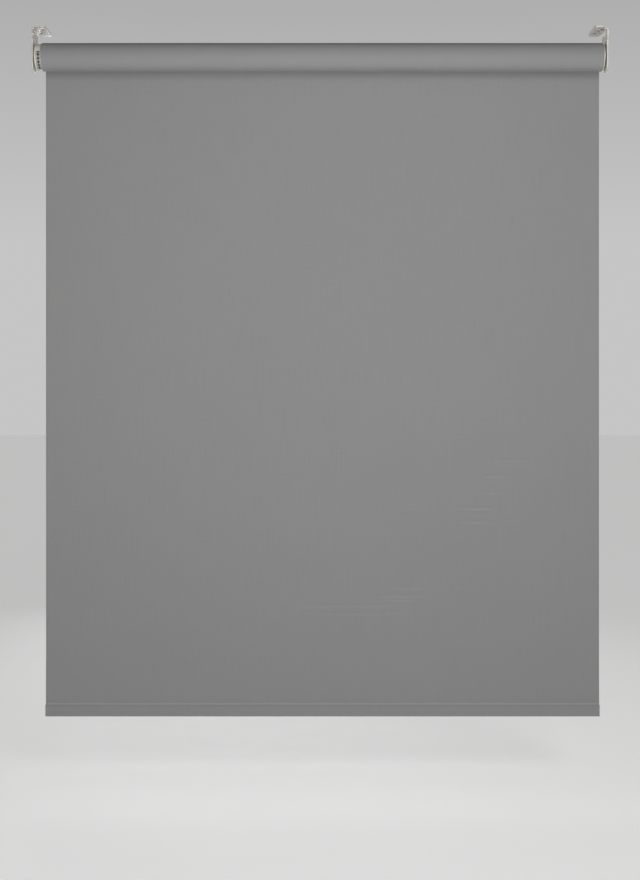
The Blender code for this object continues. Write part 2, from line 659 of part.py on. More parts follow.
def add_idle_pin(axis, material):
    profile = [
        (PIN_TIP, 0.0),
        (PIN_TIP, PIN_RADIUS - PIN_TIP_CHAMFER),
        (PIN_TIP - PIN_TIP_CHAMFER, PIN_RADIUS),
        (PIN_COLLAR_START, PIN_RADIUS),
        (PIN_COLLAR_START, PIN_COLLAR_RADIUS),
        (PIN_COLLAR_END, PIN_COLLAR_RADIUS),
        (PIN_COLLAR_END, PIN_TAIL_RADIUS),
        (PIN_END, PIN_TAIL_RADIUS),
        (PIN_END, 0.0),
    ]
    turned_shape("idle_pin", profile, axis, material)


# ---- Hanging fabric and bottom bar --------------------------------------------------------------------


def add_sheet(material):
    """The hanging fabric, from where it leaves the back of the roll down to the hem."""
    height = AXIS_Z - SHEET_BOTTOM_Z
    shape = bmesh.new()
    bmesh.ops.create_cube(shape, size=1.0)
    bmesh.ops.scale(shape, verts=shape.verts, vec=(TUBE_END - TUBE_START, FABRIC_THICKNESS, height))
    bmesh.ops.translate(shape, verts=shape.verts, vec=(0.0, 0.0, -height / 2))
    mesh = bpy.data.meshes.new("fabric_sheet")
    shape.to_mesh(mesh)
    shape.free()
    mesh.materials.append(material)
    sheet = bpy.data.objects.new("fabric_sheet", mesh)
    place(sheet, None, ((TUBE_START + TUBE_END) / 2, SHEET_Y, AXIS_Z))


def pocket_outline():
    """The hem seen along X: a loop round the bar, and the two welded layers above it at the back."""
    straight = (BAR_HEIGHT - BAR_THICKNESS) / 2
    weld_front = POCKET_RADIUS - 2 * FABRIC_THICKNESS
    weld_top = HEM_TOP_Z - BAR_Z
    steps = SMALL_ROUND_STEPS // 2
    front_shoulder = arc(POCKET_RADIUS, math.pi / 2, math.pi, steps, (0.0, straight))
    underside = arc(POCKET_RADIUS, math.pi, math.tau, steps, (0.0, -straight))
    layers = [(POCKET_RADIUS, weld_top), (weld_front, weld_top), (weld_front, straight + POCKET_RADIUS)]
    return layers + front_shoulder + underside


def add_hem(bar_frame, fabric_material, bar_material, cap_material):
    """The fabric loop, the bar in it and the caps in the bar's ends. The frame is at the bar's middle."""
    hollow = stadium(BAR_HEIGHT + 2 * FIT, BAR_THICKNESS + 2 * FIT)
    flat_shape("hem_pocket", [pocket_outline(), hollow], TUBE_START, TUBE_END, bar_frame, fabric_material)
    bar_edges = [stadium(BAR_HEIGHT, BAR_THICKNESS)]
    bar_edges.append(stadium(BAR_HEIGHT - 2 * BAR_WALL, BAR_THICKNESS - 2 * BAR_WALL))
    bar_inset = BAR_CAP_FLANGE + FIT
    flat_shape("bottom_bar", bar_edges, TUBE_START + bar_inset, TUBE_END - bar_inset, bar_frame, bar_material)
    tongue_edge = stadium(BAR_HEIGHT - 2 * (BAR_WALL + FIT), BAR_THICKNESS - 2 * (BAR_WALL + FIT))
    for name, end, inward in (("bar_cap_left", TUBE_START, 1), ("bar_cap_right", TUBE_END, -1)):
        flange_ends = (end, end + inward * BAR_CAP_FLANGE)
        cap = flat_shape(name, [stadium(BAR_HEIGHT, BAR_THICKNESS)], *flange_ends, bar_frame, cap_material)
        tongue_ends = (flange_ends[1] - inward * JOIN_OVERLAP, flange_ends[1] + inward * BAR_CAP_TONGUE)
        combine(cap, flat_shape(name + "_tongue", [tongue_edge], *tongue_ends, bar_frame), "UNION")


# ---- The whole blind ----------------------------------------------------------------------------------


def add_blind():
    steel = new_material("bracket_steel", (0.55, 0.54, 0.50), 0.45, 0.6)
    plastic = new_material("clutch_plastic", (0.50, 0.50, 0.46), 0.5)
    spring = new_material("spring_steel", (0.45, 0.45, 0.46), 0.35, 1.0)
    aluminium = new_material("tube_aluminium", (0.70, 0.70, 0.71), 0.35, 1.0)
    fabric = new_material("fabric", (0.24, 0.24, 0.24), 0.9)
    caps = new_material("cap_plastic", (0.22, 0.22, 0.22), 0.5)

    left_mount = new_empty("left_mount", (LEFT_FACE, 0.0, 0.0))
    right_mount = new_empty("right_mount", (RIGHT_FACE, 0.0, 0.0), (0.0, 0.0, math.pi))
    add_bracket("left_bracket", left_mount, square(CORE_BOSS_SIDE + 2 * FIT), steel)
    add_bracket("right_bracket", right_mount, circle(PIN_RADIUS + FIT, steps=SMALL_ROUND_STEPS), steel)

    on_axis = (0.0, 0.0, AXIS_Z)
    still_axis = new_empty("still_axis", on_axis)
    add_clutch_core(still_axis, plastic)
    add_chain_guard(still_axis, plastic)
    add_core_washer_and_screw(still_axis, spring)
    add_idle_bush(still_axis, plastic)
    add_bush_cap(still_axis, plastic)
    add_circlip(still_axis, spring)
    coil(
        "idle_spring", PIN_SPRING_RADIUS, PIN_SPRING_WIRE, PIN_SPRING_START, PIN_SPRING_END,
        PIN_SPRING_TURNS, 0.0, 0.0, still_axis, spring,
    )

    wheel_axis = new_empty("wheel_axis", on_axis)
    add_chain_wheel(wheel_axis, plastic)
    add_wrap_springs(wheel_axis, spring)

    roller_axis = new_empty("roller_axis", on_axis)
    add_drive_sleeve(roller_axis, plastic)
    add_roller(roller_axis, aluminium, caps, fabric)
    add_idle_plug(roller_axis, plastic)

    pin_axis = new_empty("pin_axis", on_axis)
    add_idle_pin(pin_axis, spring)

    add_sheet(fabric)
    bar_frame = new_empty("bar_frame", (0.0, POCKET_Y, BAR_Z))
    add_hem(bar_frame, fabric, aluminium, caps)


for thing in list(bpy.data.objects):
    bpy.data.objects.remove(thing, do_unlink=True)
parts = new_collection("roller_blind")
cutters = new_collection("cutters")
add_blind()
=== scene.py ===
# %% [markdown]
# # A roller blind, hung and lowered
#
# A roller blind is a strip of stiffened cloth wound on an aluminium tube. Two steel brackets hold the tube
# under a ceiling. A chain clutch turns it at the left end, a sprung pin carries it at the right end, and a
# flat bar in the hem keeps the cloth straight. The moving frame of the blind is already made, to size, and is
# loaded first. Everything below dresses that frame: cloth, smoother hardware and the finishes.

# %% Load the frame
import math

import bmesh
import bpy
from mathutils import Matrix, Vector


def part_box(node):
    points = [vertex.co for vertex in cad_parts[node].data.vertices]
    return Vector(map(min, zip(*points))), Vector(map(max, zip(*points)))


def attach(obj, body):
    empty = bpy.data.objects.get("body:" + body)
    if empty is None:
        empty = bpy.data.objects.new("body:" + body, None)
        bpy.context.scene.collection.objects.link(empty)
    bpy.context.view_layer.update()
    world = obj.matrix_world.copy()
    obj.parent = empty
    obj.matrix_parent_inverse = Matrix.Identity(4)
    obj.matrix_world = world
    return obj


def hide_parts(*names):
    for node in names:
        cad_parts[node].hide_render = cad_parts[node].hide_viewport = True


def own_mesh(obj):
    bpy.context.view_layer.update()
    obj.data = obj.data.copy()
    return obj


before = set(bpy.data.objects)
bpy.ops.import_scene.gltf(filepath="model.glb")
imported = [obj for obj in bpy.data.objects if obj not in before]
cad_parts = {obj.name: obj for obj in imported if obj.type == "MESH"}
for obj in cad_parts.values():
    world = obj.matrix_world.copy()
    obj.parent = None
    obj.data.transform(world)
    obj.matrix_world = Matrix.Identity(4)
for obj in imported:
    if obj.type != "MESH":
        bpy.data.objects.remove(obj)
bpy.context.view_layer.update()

# %% [markdown]
# ## Where things are
#
# The origin is on the ceiling, midway between the brackets. X runs along the roller, -Y is the room and +Z is
# up. Sizes are read from the frame's own pieces, so that every new piece fits what it stands for.

# %% Places along the blind
AXIS_Z = sum(corner.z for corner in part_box("roller_tube")) / 2
AXIS = Vector((0.0, 0.0, AXIS_Z))
TUBE_RADIUS = (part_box("roller_tube")[1].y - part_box("roller_tube")[0].y) / 2
ROLL_LEFT, ROLL_RIGHT = (corner.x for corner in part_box("fabric_roll"))
CLOTH_WIDTH = ROLL_RIGHT - ROLL_LEFT
CLOTH_MIDDLE = (ROLL_LEFT + ROLL_RIGHT) / 2
HEM_BOTTOM, HEM_TOP = (corner.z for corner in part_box("hem_pocket"))
print(f"axis {AXIS_Z:.4f}, cloth {CLOTH_WIDTH:.4f} wide, hem from {HEM_TOP:.4f} to {HEM_BOTTOM:.4f}")

# %% [markdown]
# ## Camera
#
# The blind is seen square on from a little over two metres, at half its height. A small shift keeps the
# uprights parallel while the blind sits high in the picture.

# %% Camera
CAMERA_PLACE = (0.0106, -2.450, -0.670)
CAMERA_LENS = 57.38
CAMERA_SHIFT = (-6 / 880, -26 / 880)

camera_data = bpy.data.cameras.new("camera")
camera_data.lens = CAMERA_LENS
camera_data.sensor_width = 36.0
camera_data.shift_x, camera_data.shift_y = CAMERA_SHIFT
camera = bpy.data.objects.new("camera", camera_data)
camera.location = CAMERA_PLACE
camera.rotation_euler = (math.pi / 2, 0.0, 0.0)
bpy.context.scene.collection.objects.link(camera)
bpy.context.scene.camera = camera
print("camera", tuple(round(value, 3) for value in camera.location), "lens", CAMERA_LENS)

# %% [markdown]
# ## Light
#
# A blind hangs under a ceiling, so little light reaches the top of its roll. Most comes from the room in
# front and off the floor. So the pale sky is bright at the horizon and dim overhead. A large soft lamp high
# in front gives the roll its short soft shadow on the cloth. A wide one stands low, and a narrow beam from
# near the floor reaches under the roll, which is brightest just below its middle. A weak lamp behind keeps
# the blind's back and its brackets from going dark.

# %% Sky
SKY_LEVEL, OVERHEAD_LEVEL = 0.56, 0.14
SKY_FADE = (0.12, 0.62)

sky = bpy.data.worlds.new("pale_sky")
sky.use_nodes = True
sky_nodes = sky.node_tree.nodes
sky_height = sky_nodes.new("ShaderNodeSeparateXYZ")
dimming = sky_nodes.new("ShaderNodeMapRange")
levels = zip(("From Min", "From Max", "To Min", "To Max"), (*SKY_FADE, SKY_LEVEL, OVERHEAD_LEVEL))
for socket, value in levels:
    dimming.inputs[socket].default_value = value
sky_place = sky_nodes.new("ShaderNodeTexCoord").outputs["Generated"]
sky.node_tree.links.new(sky_place, sky_height.inputs[0])
sky.node_tree.links.new(sky_height.outputs["Z"], dimming.inputs["Value"])
sky.node_tree.links.new(dimming.outputs[0], sky_nodes["Background"].inputs["Color"])
bpy.context.scene.world = sky
bpy.context.scene.view_settings.view_transform = "Standard"
print("sky", SKY_LEVEL, "down to", OVERHEAD_LEVEL, "overhead")

# %% Lamps


def add_lamp(name, place, target, size, power, spread=180.0):
    """A square soft lamp at place, facing target. spread is the width of its beam in degrees."""
    lamp_data = bpy.data.lights.new(name, "AREA")
    lamp_data.shape = "SQUARE"
    lamp_data.size = size
    lamp_data.energy = power
    lamp_data.spread = math.radians(spread)
    lamp = bpy.data.objects.new(name, lamp_data)
    lamp.location = place
    lamp.rotation_euler = (Vector(target) - Vector(place)).to_track_quat("-Z", "Y").to_euler()
    bpy.context.scene.collection.objects.link(lamp)
    print(name, "at", place, power, "W")


add_lamp("high_lamp", (0.9, -2.2, 0.36), (0.0, 0.0, -0.20), 0.9, 14.0)
add_lamp("wide_lamp", (0.0, -2.0, -1.10), (0.0, 0.0, -0.40), 1.0, 23.0)
add_lamp("low_beam", (0.0, -1.7, -1.22), (0.0, 0.0, -0.06), 0.8, 3.0, spread=75.0)
add_lamp("back_lamp", (-0.3, 2.6, -0.35), (0.0, 0.0, -0.45), 1.4, 7.0, spread=100.0)

# %% [markdown]
# ## Working by hand, in code
#
# Each piece is modelled with the same tools as by hand. A few helpers do the clicking: they select by place,
# extrude, apply a modifier, and leave a piece's object at the origin with its place in its mesh.

# %% Selecting and editing


def start_fresh():
    """Goes back to object mode with nothing selected."""
    if bpy.context.object and bpy.context.object.mode != "OBJECT":
        bpy.ops.object.mode_set(mode="OBJECT")
    bpy.ops.object.select_all(action="DESELECT")


def name_it(name):
    piece = bpy.context.object
    piece.name = name
    piece.data.name = name
    return piece


def pick(kind, wanted):
    """Selects, in edit mode, the VERT or EDGE elements that wanted says yes to."""
    bpy.ops.mesh.select_mode(type=kind)
    bpy.ops.mesh.select_all(action="DESELECT")
    drawn = bmesh.from_edit_mesh(bpy.context.object.data)
    drawn.normal_update()
    for element in {"VERT": drawn.verts, "EDGE": drawn.edges}[kind]:
        if wanted(element):
            element.select_set(True)
    drawn.select_flush_mode()
    bmesh.update_edit_mesh(bpy.context.object.data)


def edit_all():
    """Goes to edit mode with the whole shape selected."""
    bpy.ops.object.mode_set(mode="EDIT")
    bpy.ops.mesh.select_all(action="SELECT")


def extrude(*move):
    bpy.ops.mesh.extrude_region_move(TRANSFORM_OT_translate={"value": move})


def face_outwards():
    """Turns every face of the shape in edit mode outwards, and goes back to object mode."""
    bpy.ops.mesh.select_all(action="SELECT")
    bpy.ops.mesh.normals_make_consistent(inside=False)
    bpy.ops.object.mode_set(mode="OBJECT")


# %% Modifiers and placing


def use_modifier(piece, kind, **settings):
    """Adds a modifier, sets it and applies it."""
    bpy.context.view_layer.objects.active = piece
    piece.select_set(True)
    modifier = piece.modifiers.new(kind.title(), kind)
    for setting, value in settings.items():
        setattr(modifier, setting, value)
    bpy.ops.object.modifier_apply(modifier=modifier.name)


def cut_or_join(piece, tool, operation):
    """Cuts the tool's shape out of the piece, or joins it on, and throws the tool away."""
    start_fresh()
    use_modifier(piece, "BOOLEAN", operation=operation, solver="EXACT", object=tool)
    bpy.data.objects.remove(tool, do_unlink=True)


def settle(piece):
    """Puts the object at the origin, unturned and unscaled, with its place in its mesh."""
    start_fresh()
    piece.select_set(True)
    bpy.context.view_layer.objects.active = piece
    bpy.ops.object.transform_apply(location=True, rotation=True, scale=True)


def rectangle(name, length, depth, middle, turned=(0.0, 0.0, 0.0)):
    """A flat rectangle to shape a piece from."""
    start_fresh()
    bpy.ops.mesh.primitive_plane_add(size=1.0, location=middle, rotation=turned)
    piece = name_it(name)
    piece.scale = (length, depth, 1.0)
    settle(piece)
    return piece


# %% Rounded edges
SMOOTH_ANGLE = math.radians(35)


def mark_faces(piece, label, wanted):
    """Marks some faces with 1, and the rest with 0, in a face attribute that a finish can read."""
    marks = piece.data.attributes.new(label, "FLOAT", "FACE")
    marks.data.foreach_set("value", [float(wanted(face)) for face in piece.data.polygons])


def soften(piece, width):
    """Rounds the sharp edges by width and shades the rest smooth, so that edges catch the light. The rounded
    strips come out of the modifier in a second material slot, and are marked as worn_edge from that."""
    settle(piece)
    piece.data.materials.clear()
    for _ in range(2):
        piece.data.materials.append(None)
    use_modifier(
        piece, "BEVEL", width=width, segments=2, limit_method="ANGLE", angle_limit=SMOOTH_ANGLE,
        use_clamp_overlap=True, miter_outer="MITER_ARC", material=1,
    )
    mark_faces(piece, "worn_edge", lambda face: face.material_index == 1)
    for face in piece.data.polygons:
        face.material_index = 0
    piece.data.materials.clear()
    bpy.ops.object.shade_smooth_by_angle(angle=SMOOTH_ANGLE)


# %% Fitting a piece to the frame


def count(piece):
    piece.data.calc_loop_triangles()
    print(f"{piece.name}: {len(piece.data.loop_triangles)} triangles")


def fit(piece, finish, body, node):
    """Gives a hard piece its finish and the body that it moves with, and hides the frame's piece that it
    stands for.
    """
    piece.data.materials.append(finish)
    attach(piece, body)
    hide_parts(node)
    count(piece)


# %% [markdown]
# ## Finishes
#
# Every finish is made of noise and simple sums, so it has no picture behind it and can be looked at from any
# distance. Effects that several finishes share, such as a weave, a mottle or rubbed edges, are node groups. A
# group gives back only a tone, a mask or a height, and each material keeps its own shader and its own values.

# %% Helpers for node trees


def add_node(tree, kind, inputs=None, **settings):
    """Adds a node, sets it up, and sets or links its inputs."""
    made = tree.nodes.new("ShaderNode" + kind)
    for setting, value in settings.items():
        setattr(made, setting, value)
    for socket, value in (inputs or {}).items():
        if isinstance(value, bpy.types.NodeSocket):
            tree.links.new(value, made.inputs[socket])
        else:
            made.inputs[socket].default_value = value
    return made


def calculate(tree, operation, *values, clamp=False):
    """A Math node's result."""
    inputs = dict(enumerate(values))
    return add_node(tree, "Math", inputs, operation=operation, use_clamp=clamp).outputs[0]


def combine(tree, operation, first, second):
    """A Vector Math node's result."""
    return add_node(tree, "VectorMath", {0: first, 1: second}, operation=operation).outputs[0]


def weighted_sum(tree, start, *terms):
    """start plus each (value, weight) pair's product, as one value."""
    total = start
    for value, weight in terms:
        total = calculate(tree, "MULTIPLY_ADD", value, weight, total)
    return total


def stretched_noise(tree, place, scales, detail=2.0):
    """Noise with its own scale, in cycles a metre, along each axis. It swings about zero."""
    inputs = {"Vector": combine(tree, "MULTIPLY", place, scales), "Scale": 1.0, "Detail": detail}
    return calculate(tree, "SUBTRACT", add_node(tree, "TexNoise", inputs).outputs["Fac"], 0.5)


# %% Helpers for node groups


def new_group(name, inputs, outputs):
    """A node group with those sockets, and with it its input node and its output node."""
    group = bpy.data.node_groups.new(name, "ShaderNodeTree")
    for label, value in inputs.items():
        kind = "NodeSocketVector" if isinstance(value, tuple) else "NodeSocketFloat"
        socket = group.interface.new_socket(name=label, in_out="INPUT", socket_type=kind)
        socket.default_value = value
    for label in outputs:
        group.interface.new_socket(name=label, in_out="OUTPUT", socket_type="NodeSocketFloat")
    return group, group.nodes.new("NodeGroupInput"), group.nodes.new("NodeGroupOutput")


def use_group(tree, group, **inputs):
    node = tree.nodes.new("ShaderNodeGroup")
    node.node_tree = group
    for label, value in inputs.items():
        socket = node.inputs[label.replace("_", " ")]
        if isinstance(value, bpy.types.NodeSocket):
            tree.links.new(value, socket)
        else:
            socket.default_value = value
    return node


# %% [markdown]
# ### Woven cloth
#
# Blind cloth is a plain weave of fine yarn, stiffened so that it rolls without creasing. Yarn is never quite
# even: thicker lengths, called slubs, show as faint streaks, longer down the cloth than across it. The group
# takes a place on the flat cloth in metres, x across and y along. The threads are two rows of rounded ridges
# that take turns on top, as a checkerboard says.

# %% The weave
THREAD_PITCH = 0.00055

woven, woven_in, woven_out = new_group("woven_cloth", {"Place": (0.0, 0.0, 0.0)}, ["Tone", "Height"])
on_cloth = woven_in.outputs["Place"]
in_threads = combine(woven, "MULTIPLY", on_cloth, (1 / THREAD_PITCH,) * 3)
thread_parts = add_node(woven, "SeparateXYZ", {0: in_threads})
ridges = []
for direction in ("X", "Y"):
    turned = calculate(woven, "MULTIPLY", thread_parts.outputs[direction], math.pi)
    ridges.append(calculate(woven, "ABSOLUTE", calculate(woven, "SINE", turned)))
on_top = add_node(woven, "TexChecker", {"Vector": in_threads, "Scale": 1.0}).outputs["Fac"]
threads = add_node(woven, "Mix", {0: on_top, 2: ridges[0], 3: ridges[1]}).outputs[0]
long_slubs = stretched_noise(woven, on_cloth, (420.0, 14.0, 1.0), detail=3.0)
short_slubs = stretched_noise(woven, on_cloth, (22.0, 520.0, 1.0))
fibres = stretched_noise(woven, on_cloth, (1500.0, 1500.0, 1.0))
clouds = stretched_noise(woven, on_cloth, (5.0, 4.0, 1.0), detail=3.0)
tone_parts = [(long_slubs, 0.3), (short_slubs, 0.22), (fibres, 0.6), (clouds, 0.12), (threads, 0.2)]
tone = weighted_sum(woven, 0.45, *tone_parts)
height = weighted_sum(woven, 0.0, (threads, 0.7), (long_slubs, 0.35), (short_slubs, 0.3), (fibres, 0.5))
woven.links.new(calculate(woven, "ADD", tone, 0.0, clamp=True), woven_out.inputs["Tone"])
woven.links.new(height, woven_out.inputs["Height"])
print("weave nodes:", len(woven.nodes))

# %% [markdown]
# ### Handling marks in the cloth
#
# A few marks lie across the lower part of the hanging cloth, where it was pressed while rolled: low ridges a
# few millimetres wide and as long as a finger or a hand. They are too shallow to need geometry, which would
# bunch up when the blind rises, so they are a height in the finish, with a painted highlight: a lighter
# colour along each ridge that stands in for the light the ridges catch.

# %% Pressed marks
# Each mark: its middle across and up the blind, half its length and its strength.
MARKS = [
    (0.337, -0.753, 0.042, 0.6), (0.311, -0.781, 0.028, 0.7), (0.303, -0.809, 0.020, 0.7),
    (0.276, -0.837, 0.034, 1.2), (0.275, -0.861, 0.034, 0.9), (0.352, -0.760, 0.022, 0.4),
    (0.156, -0.979, 0.029, 0.7), (0.150, -0.992, 0.053, 0.8), (0.141, -0.999, 0.035, 0.5),
    (0.053, -1.009, 0.115, 0.7), (0.071, -1.023, 0.097, 0.6),
]
MARK_HALF_WIDTH = 0.0026
MARK_WANDER = 0.003

mark, mark_in, mark_out = new_group(
    "pressed_mark", {"Place": (0.0, 0.0, 0.0), "Middle": (0.0, 0.0, 0.0), "Half length": 0.02}, ["Height"]
)
from_middle = combine(mark, "SUBTRACT", mark_in.outputs["Place"], mark_in.outputs["Middle"])
wander = stretched_noise(mark, mark_in.outputs["Place"], (30.0, 60.0, 1.0))
mark_parts = add_node(mark, "SeparateXYZ", {0: from_middle})
up = calculate(mark, "MULTIPLY_ADD", wander, MARK_WANDER, mark_parts.outputs["Y"])
across_share = calculate(mark, "DIVIDE", up, MARK_HALF_WIDTH)
across_squared = calculate(mark, "MULTIPLY", across_share, across_share)
ridge = calculate(mark, "EXPONENT", calculate(mark, "MULTIPLY", across_squared, -1.0))
along_share = calculate(mark, "DIVIDE", mark_parts.outputs["X"], mark_in.outputs["Half length"])
fade = calculate(mark, "SUBTRACT", 1.0, calculate(mark, "MULTIPLY", along_share, along_share), clamp=True)
mark.links.new(calculate(mark, "MULTIPLY", ridge, fade), mark_out.inputs["Height"])
print("marks:", len(MARKS))

# %% [markdown]
# ### Mottle and rubbed edges
#
# Paint, plating and moulded plastic all vary a little: broad clouds, a fine grain and tiny specks. Corners
# that hands and tools meet are rubbed brighter. Each rounded edge is marked on the mesh as it is made, by an
# attribute called worn_edge, and noise breaks the rubbing up.

# %% Shared hard-surface effects
mottle, mottle_in, mottle_out = new_group(
    "mottle", {"Place": (0.0, 0.0, 0.0), "Stretch": (1.0, 1.0, 1.0)}, ["Tone", "Height"]
)
stretched = combine(mottle, "MULTIPLY", mottle_in.outputs["Place"], mottle_in.outputs["Stretch"])
broad = stretched_noise(mottle, stretched, (60.0,) * 3, detail=3.0)
grain = stretched_noise(mottle, stretched, (900.0,) * 3)
specks = stretched_noise(mottle, stretched, (320.0,) * 3, detail=1.0)
mottle_tone = weighted_sum(mottle, 0.5, (broad, 1.1), (grain, 0.5), (specks, 0.6))
mottle.links.new(calculate(mottle, "ADD", mottle_tone, 0.0, clamp=True), mottle_out.inputs["Tone"])
mottle.links.new(weighted_sum(mottle, 0.5, (grain, 0.7), (specks, 0.6)), mottle_out.inputs["Height"])

rubbed, rubbed_in, rubbed_out = new_group("rubbed_edges", {"Place": (0.0, 0.0, 0.0)}, ["Mask"])
marked = add_node(rubbed, "Attribute", attribute_name="worn_edge").outputs["Fac"]
broken = stretched_noise(rubbed, rubbed_in.outputs["Place"], (140.0,) * 3, detail=3.0)
kept = calculate(rubbed, "MULTIPLY_ADD", broken, 2.2, 0.55, clamp=True)
rubbed.links.new(calculate(rubbed, "MULTIPLY", marked, kept), rubbed_out.inputs["Mask"])
print("groups:", [group.name for group in bpy.data.node_groups])

# %% [markdown]
# ### The materials
#
# The hanging cloth reads its place from the object, so the weave stays at its own size when the blind is
# raised. Rolled and folded cloth reads its own map, in metres of flat cloth. Hard finishes read the object's
# place too.

# %% Starting a material


def new_finish(name, constants):
    """A material whose even values sit on the shader's own sockets."""
    finish = bpy.data.materials.new(name)
    finish.use_nodes = True
    shader = finish.node_tree.nodes["Principled BSDF"]
    for label, value in constants.items():
        shader.inputs[label].default_value = value
    return finish, finish.node_tree, shader


def blend_colours(tree, share, first, second):
    """The first colour where share is 0 and the second where it is 1. Each is a node's or a plain colour."""
    inputs = {0: share}
    for socket, colour in ((6, first), (7, second)):
        inputs[socket] = (*colour, 1.0) if isinstance(colour, tuple) else colour
    return add_node(tree, "Mix", inputs, data_type="RGBA").outputs[2]


def spread_value(tree, share, low, high):
    return add_node(tree, "MapRange", {"Value": share, "To Min": low, "To Max": high}).outputs[0]


# %% The cloth finish
CLOTH_DARK, CLOTH_LIGHT = (0.172, 0.172, 0.172), (0.232, 0.232, 0.231)
CLOTH_ROUGHNESS = (0.92, 0.78)
CLOTH_BUMP, WEAVE_STRENGTH = 0.00016, 0.6
# Painted light: a lighter colour on the hem's lean and weld, which cancels the shade of their crease.
WELD_PAINTED_LIGHT_COLOUR, PAINTED_LIGHT_BLUR = (0.292, 0.292, 0.291), 0.001
# Painted highlight: the marks' ridges are coloured lighter, where light would catch them.
MARK_HIGHLIGHT_COLOUR, MARK_HIGHLIGHT_SHARE = (0.262, 0.262, 0.261), 0.4
MARK_BUMP = 0.0010


def cloth_finish(name, hanging, painted_light_start=None):
    """The blind's cloth. From the given start, in metres down the flat cloth, its colour is painted lighter:
    painted light that cancels the shade of the hem's crease over the lean and the weld.
    """
    constants = {"Sheen Weight": 0.06, "Sheen Roughness": 0.5, "Specular IOR Level": 0.25}
    finish, tree, shader = new_finish(name, constants)
    coordinates = add_node(tree, "TexCoord")
    if hanging:
        parts = add_node(tree, "SeparateXYZ", {0: coordinates.outputs["Object"]})
        place = add_node(tree, "CombineXYZ", {0: parts.outputs["X"], 1: parts.outputs["Z"]}).outputs[0]
    else:
        place = coordinates.outputs["UV"]
    weave = use_group(tree, woven, Place=place)
    colour = blend_colours(tree, weave.outputs["Tone"], CLOTH_DARK, CLOTH_LIGHT)
    # Painted light: from the given start the colour turns lighter over the hem's lean and weld.
    if painted_light_start:
        along = add_node(tree, "SeparateXYZ", {0: place}).outputs["Y"]
        inputs = {"Value": along, "From Min": painted_light_start, "From Max": painted_light_start + PAINTED_LIGHT_BLUR}
        pressed = add_node(tree, "MapRange", inputs).outputs[0]
        colour = blend_colours(tree, pressed, colour, WELD_PAINTED_LIGHT_COLOUR)
    roughness = spread_value(tree, weave.outputs["Tone"], *CLOTH_ROUGHNESS)
    tree.links.new(roughness, shader.inputs["Roughness"])
    inputs = {"Height": weave.outputs["Height"], "Distance": CLOTH_BUMP, "Strength": WEAVE_STRENGTH}
    bump = add_node(tree, "Bump", inputs)
    if hanging:
        total = 0.0
        for across, up_blind, half_length, strength in MARKS:
            one = use_group(tree, mark, Place=place, Middle=(across, up_blind, 0.0), Half_length=half_length)
            total = calculate(tree, "MULTIPLY_ADD", one.outputs["Height"], strength, total)
        marks = add_node(tree, "Bump", {"Height": total, "Distance": MARK_BUMP})
        tree.links.new(marks.outputs["Normal"], bump.inputs["Normal"])
        # Painted highlight along the marks' ridges.
        share = calculate(tree, "MULTIPLY", total, MARK_HIGHLIGHT_SHARE, clamp=True)
        colour = blend_colours(tree, share, colour, MARK_HIGHLIGHT_COLOUR)
    tree.links.new(colour, shader.inputs["Base Color"])
    tree.links.new(bump.outputs["Normal"], shader.inputs["Normal"])
    return finish


# %% The hard finish
HARD_BUMP = 0.00002


def hard_finish(name, dark, light, rough, stretch=(1.0, 1.0, 1.0), rub=None, cut=None, metallic=0.0):
    """Paint, plating or plastic: a mottled colour and roughness, corners rubbed to the colour called rub, and
    the walls of holes and pockets in the colour called cut: painted shade, for the little light inside them."""
    finish, tree, shader = new_finish(name, {"Metallic": metallic})
    place = add_node(tree, "TexCoord").outputs["Object"]
    cloudy = use_group(tree, mottle, Place=place, Stretch=stretch)
    colour = blend_colours(tree, cloudy.outputs["Tone"], dark, light)
    if rub:
        worn = use_group(tree, rubbed, Place=place).outputs["Mask"]
        colour = blend_colours(tree, worn, colour, rub)
    # Painted shade: the walls of holes and pockets take a dark colour for the little light that reaches
    # inside.
    if cut:
        wall = add_node(tree, "Attribute", attribute_name="painted_shade_wall").outputs["Fac"]
        colour = blend_colours(tree, wall, colour, cut)
    tree.links.new(colour, shader.inputs["Base Color"])
    tree.links.new(spread_value(tree, cloudy.outputs["Tone"], *rough), shader.inputs["Roughness"])
    inputs = {"Height": cloudy.outputs["Height"], "Distance": HARD_BUMP}
    tree.links.new(add_node(tree, "Bump", inputs).outputs["Normal"], shader.inputs["Normal"])
    return finish


# %% The blind's own finishes
FLOOR_GLOW = 0.34

hanging_cloth = cloth_finish("hanging_cloth", True)
rolled_cloth = cloth_finish("rolled_cloth", False)
# The brackets' hole walls get a near-black painted shade.
bracket_paint = hard_finish(
    "bracket_steel", (0.38, 0.367, 0.335), (0.52, 0.502, 0.46), (0.50, 0.36), rub=(0.60, 0.58, 0.54),
    cut=(0.035, 0.034, 0.030), metallic=0.2,
)
clutch_plastic = hard_finish(
    "clutch_plastic", (0.40, 0.392, 0.360), (0.48, 0.471, 0.435), (0.52, 0.40), rub=(0.58, 0.57, 0.53)
)
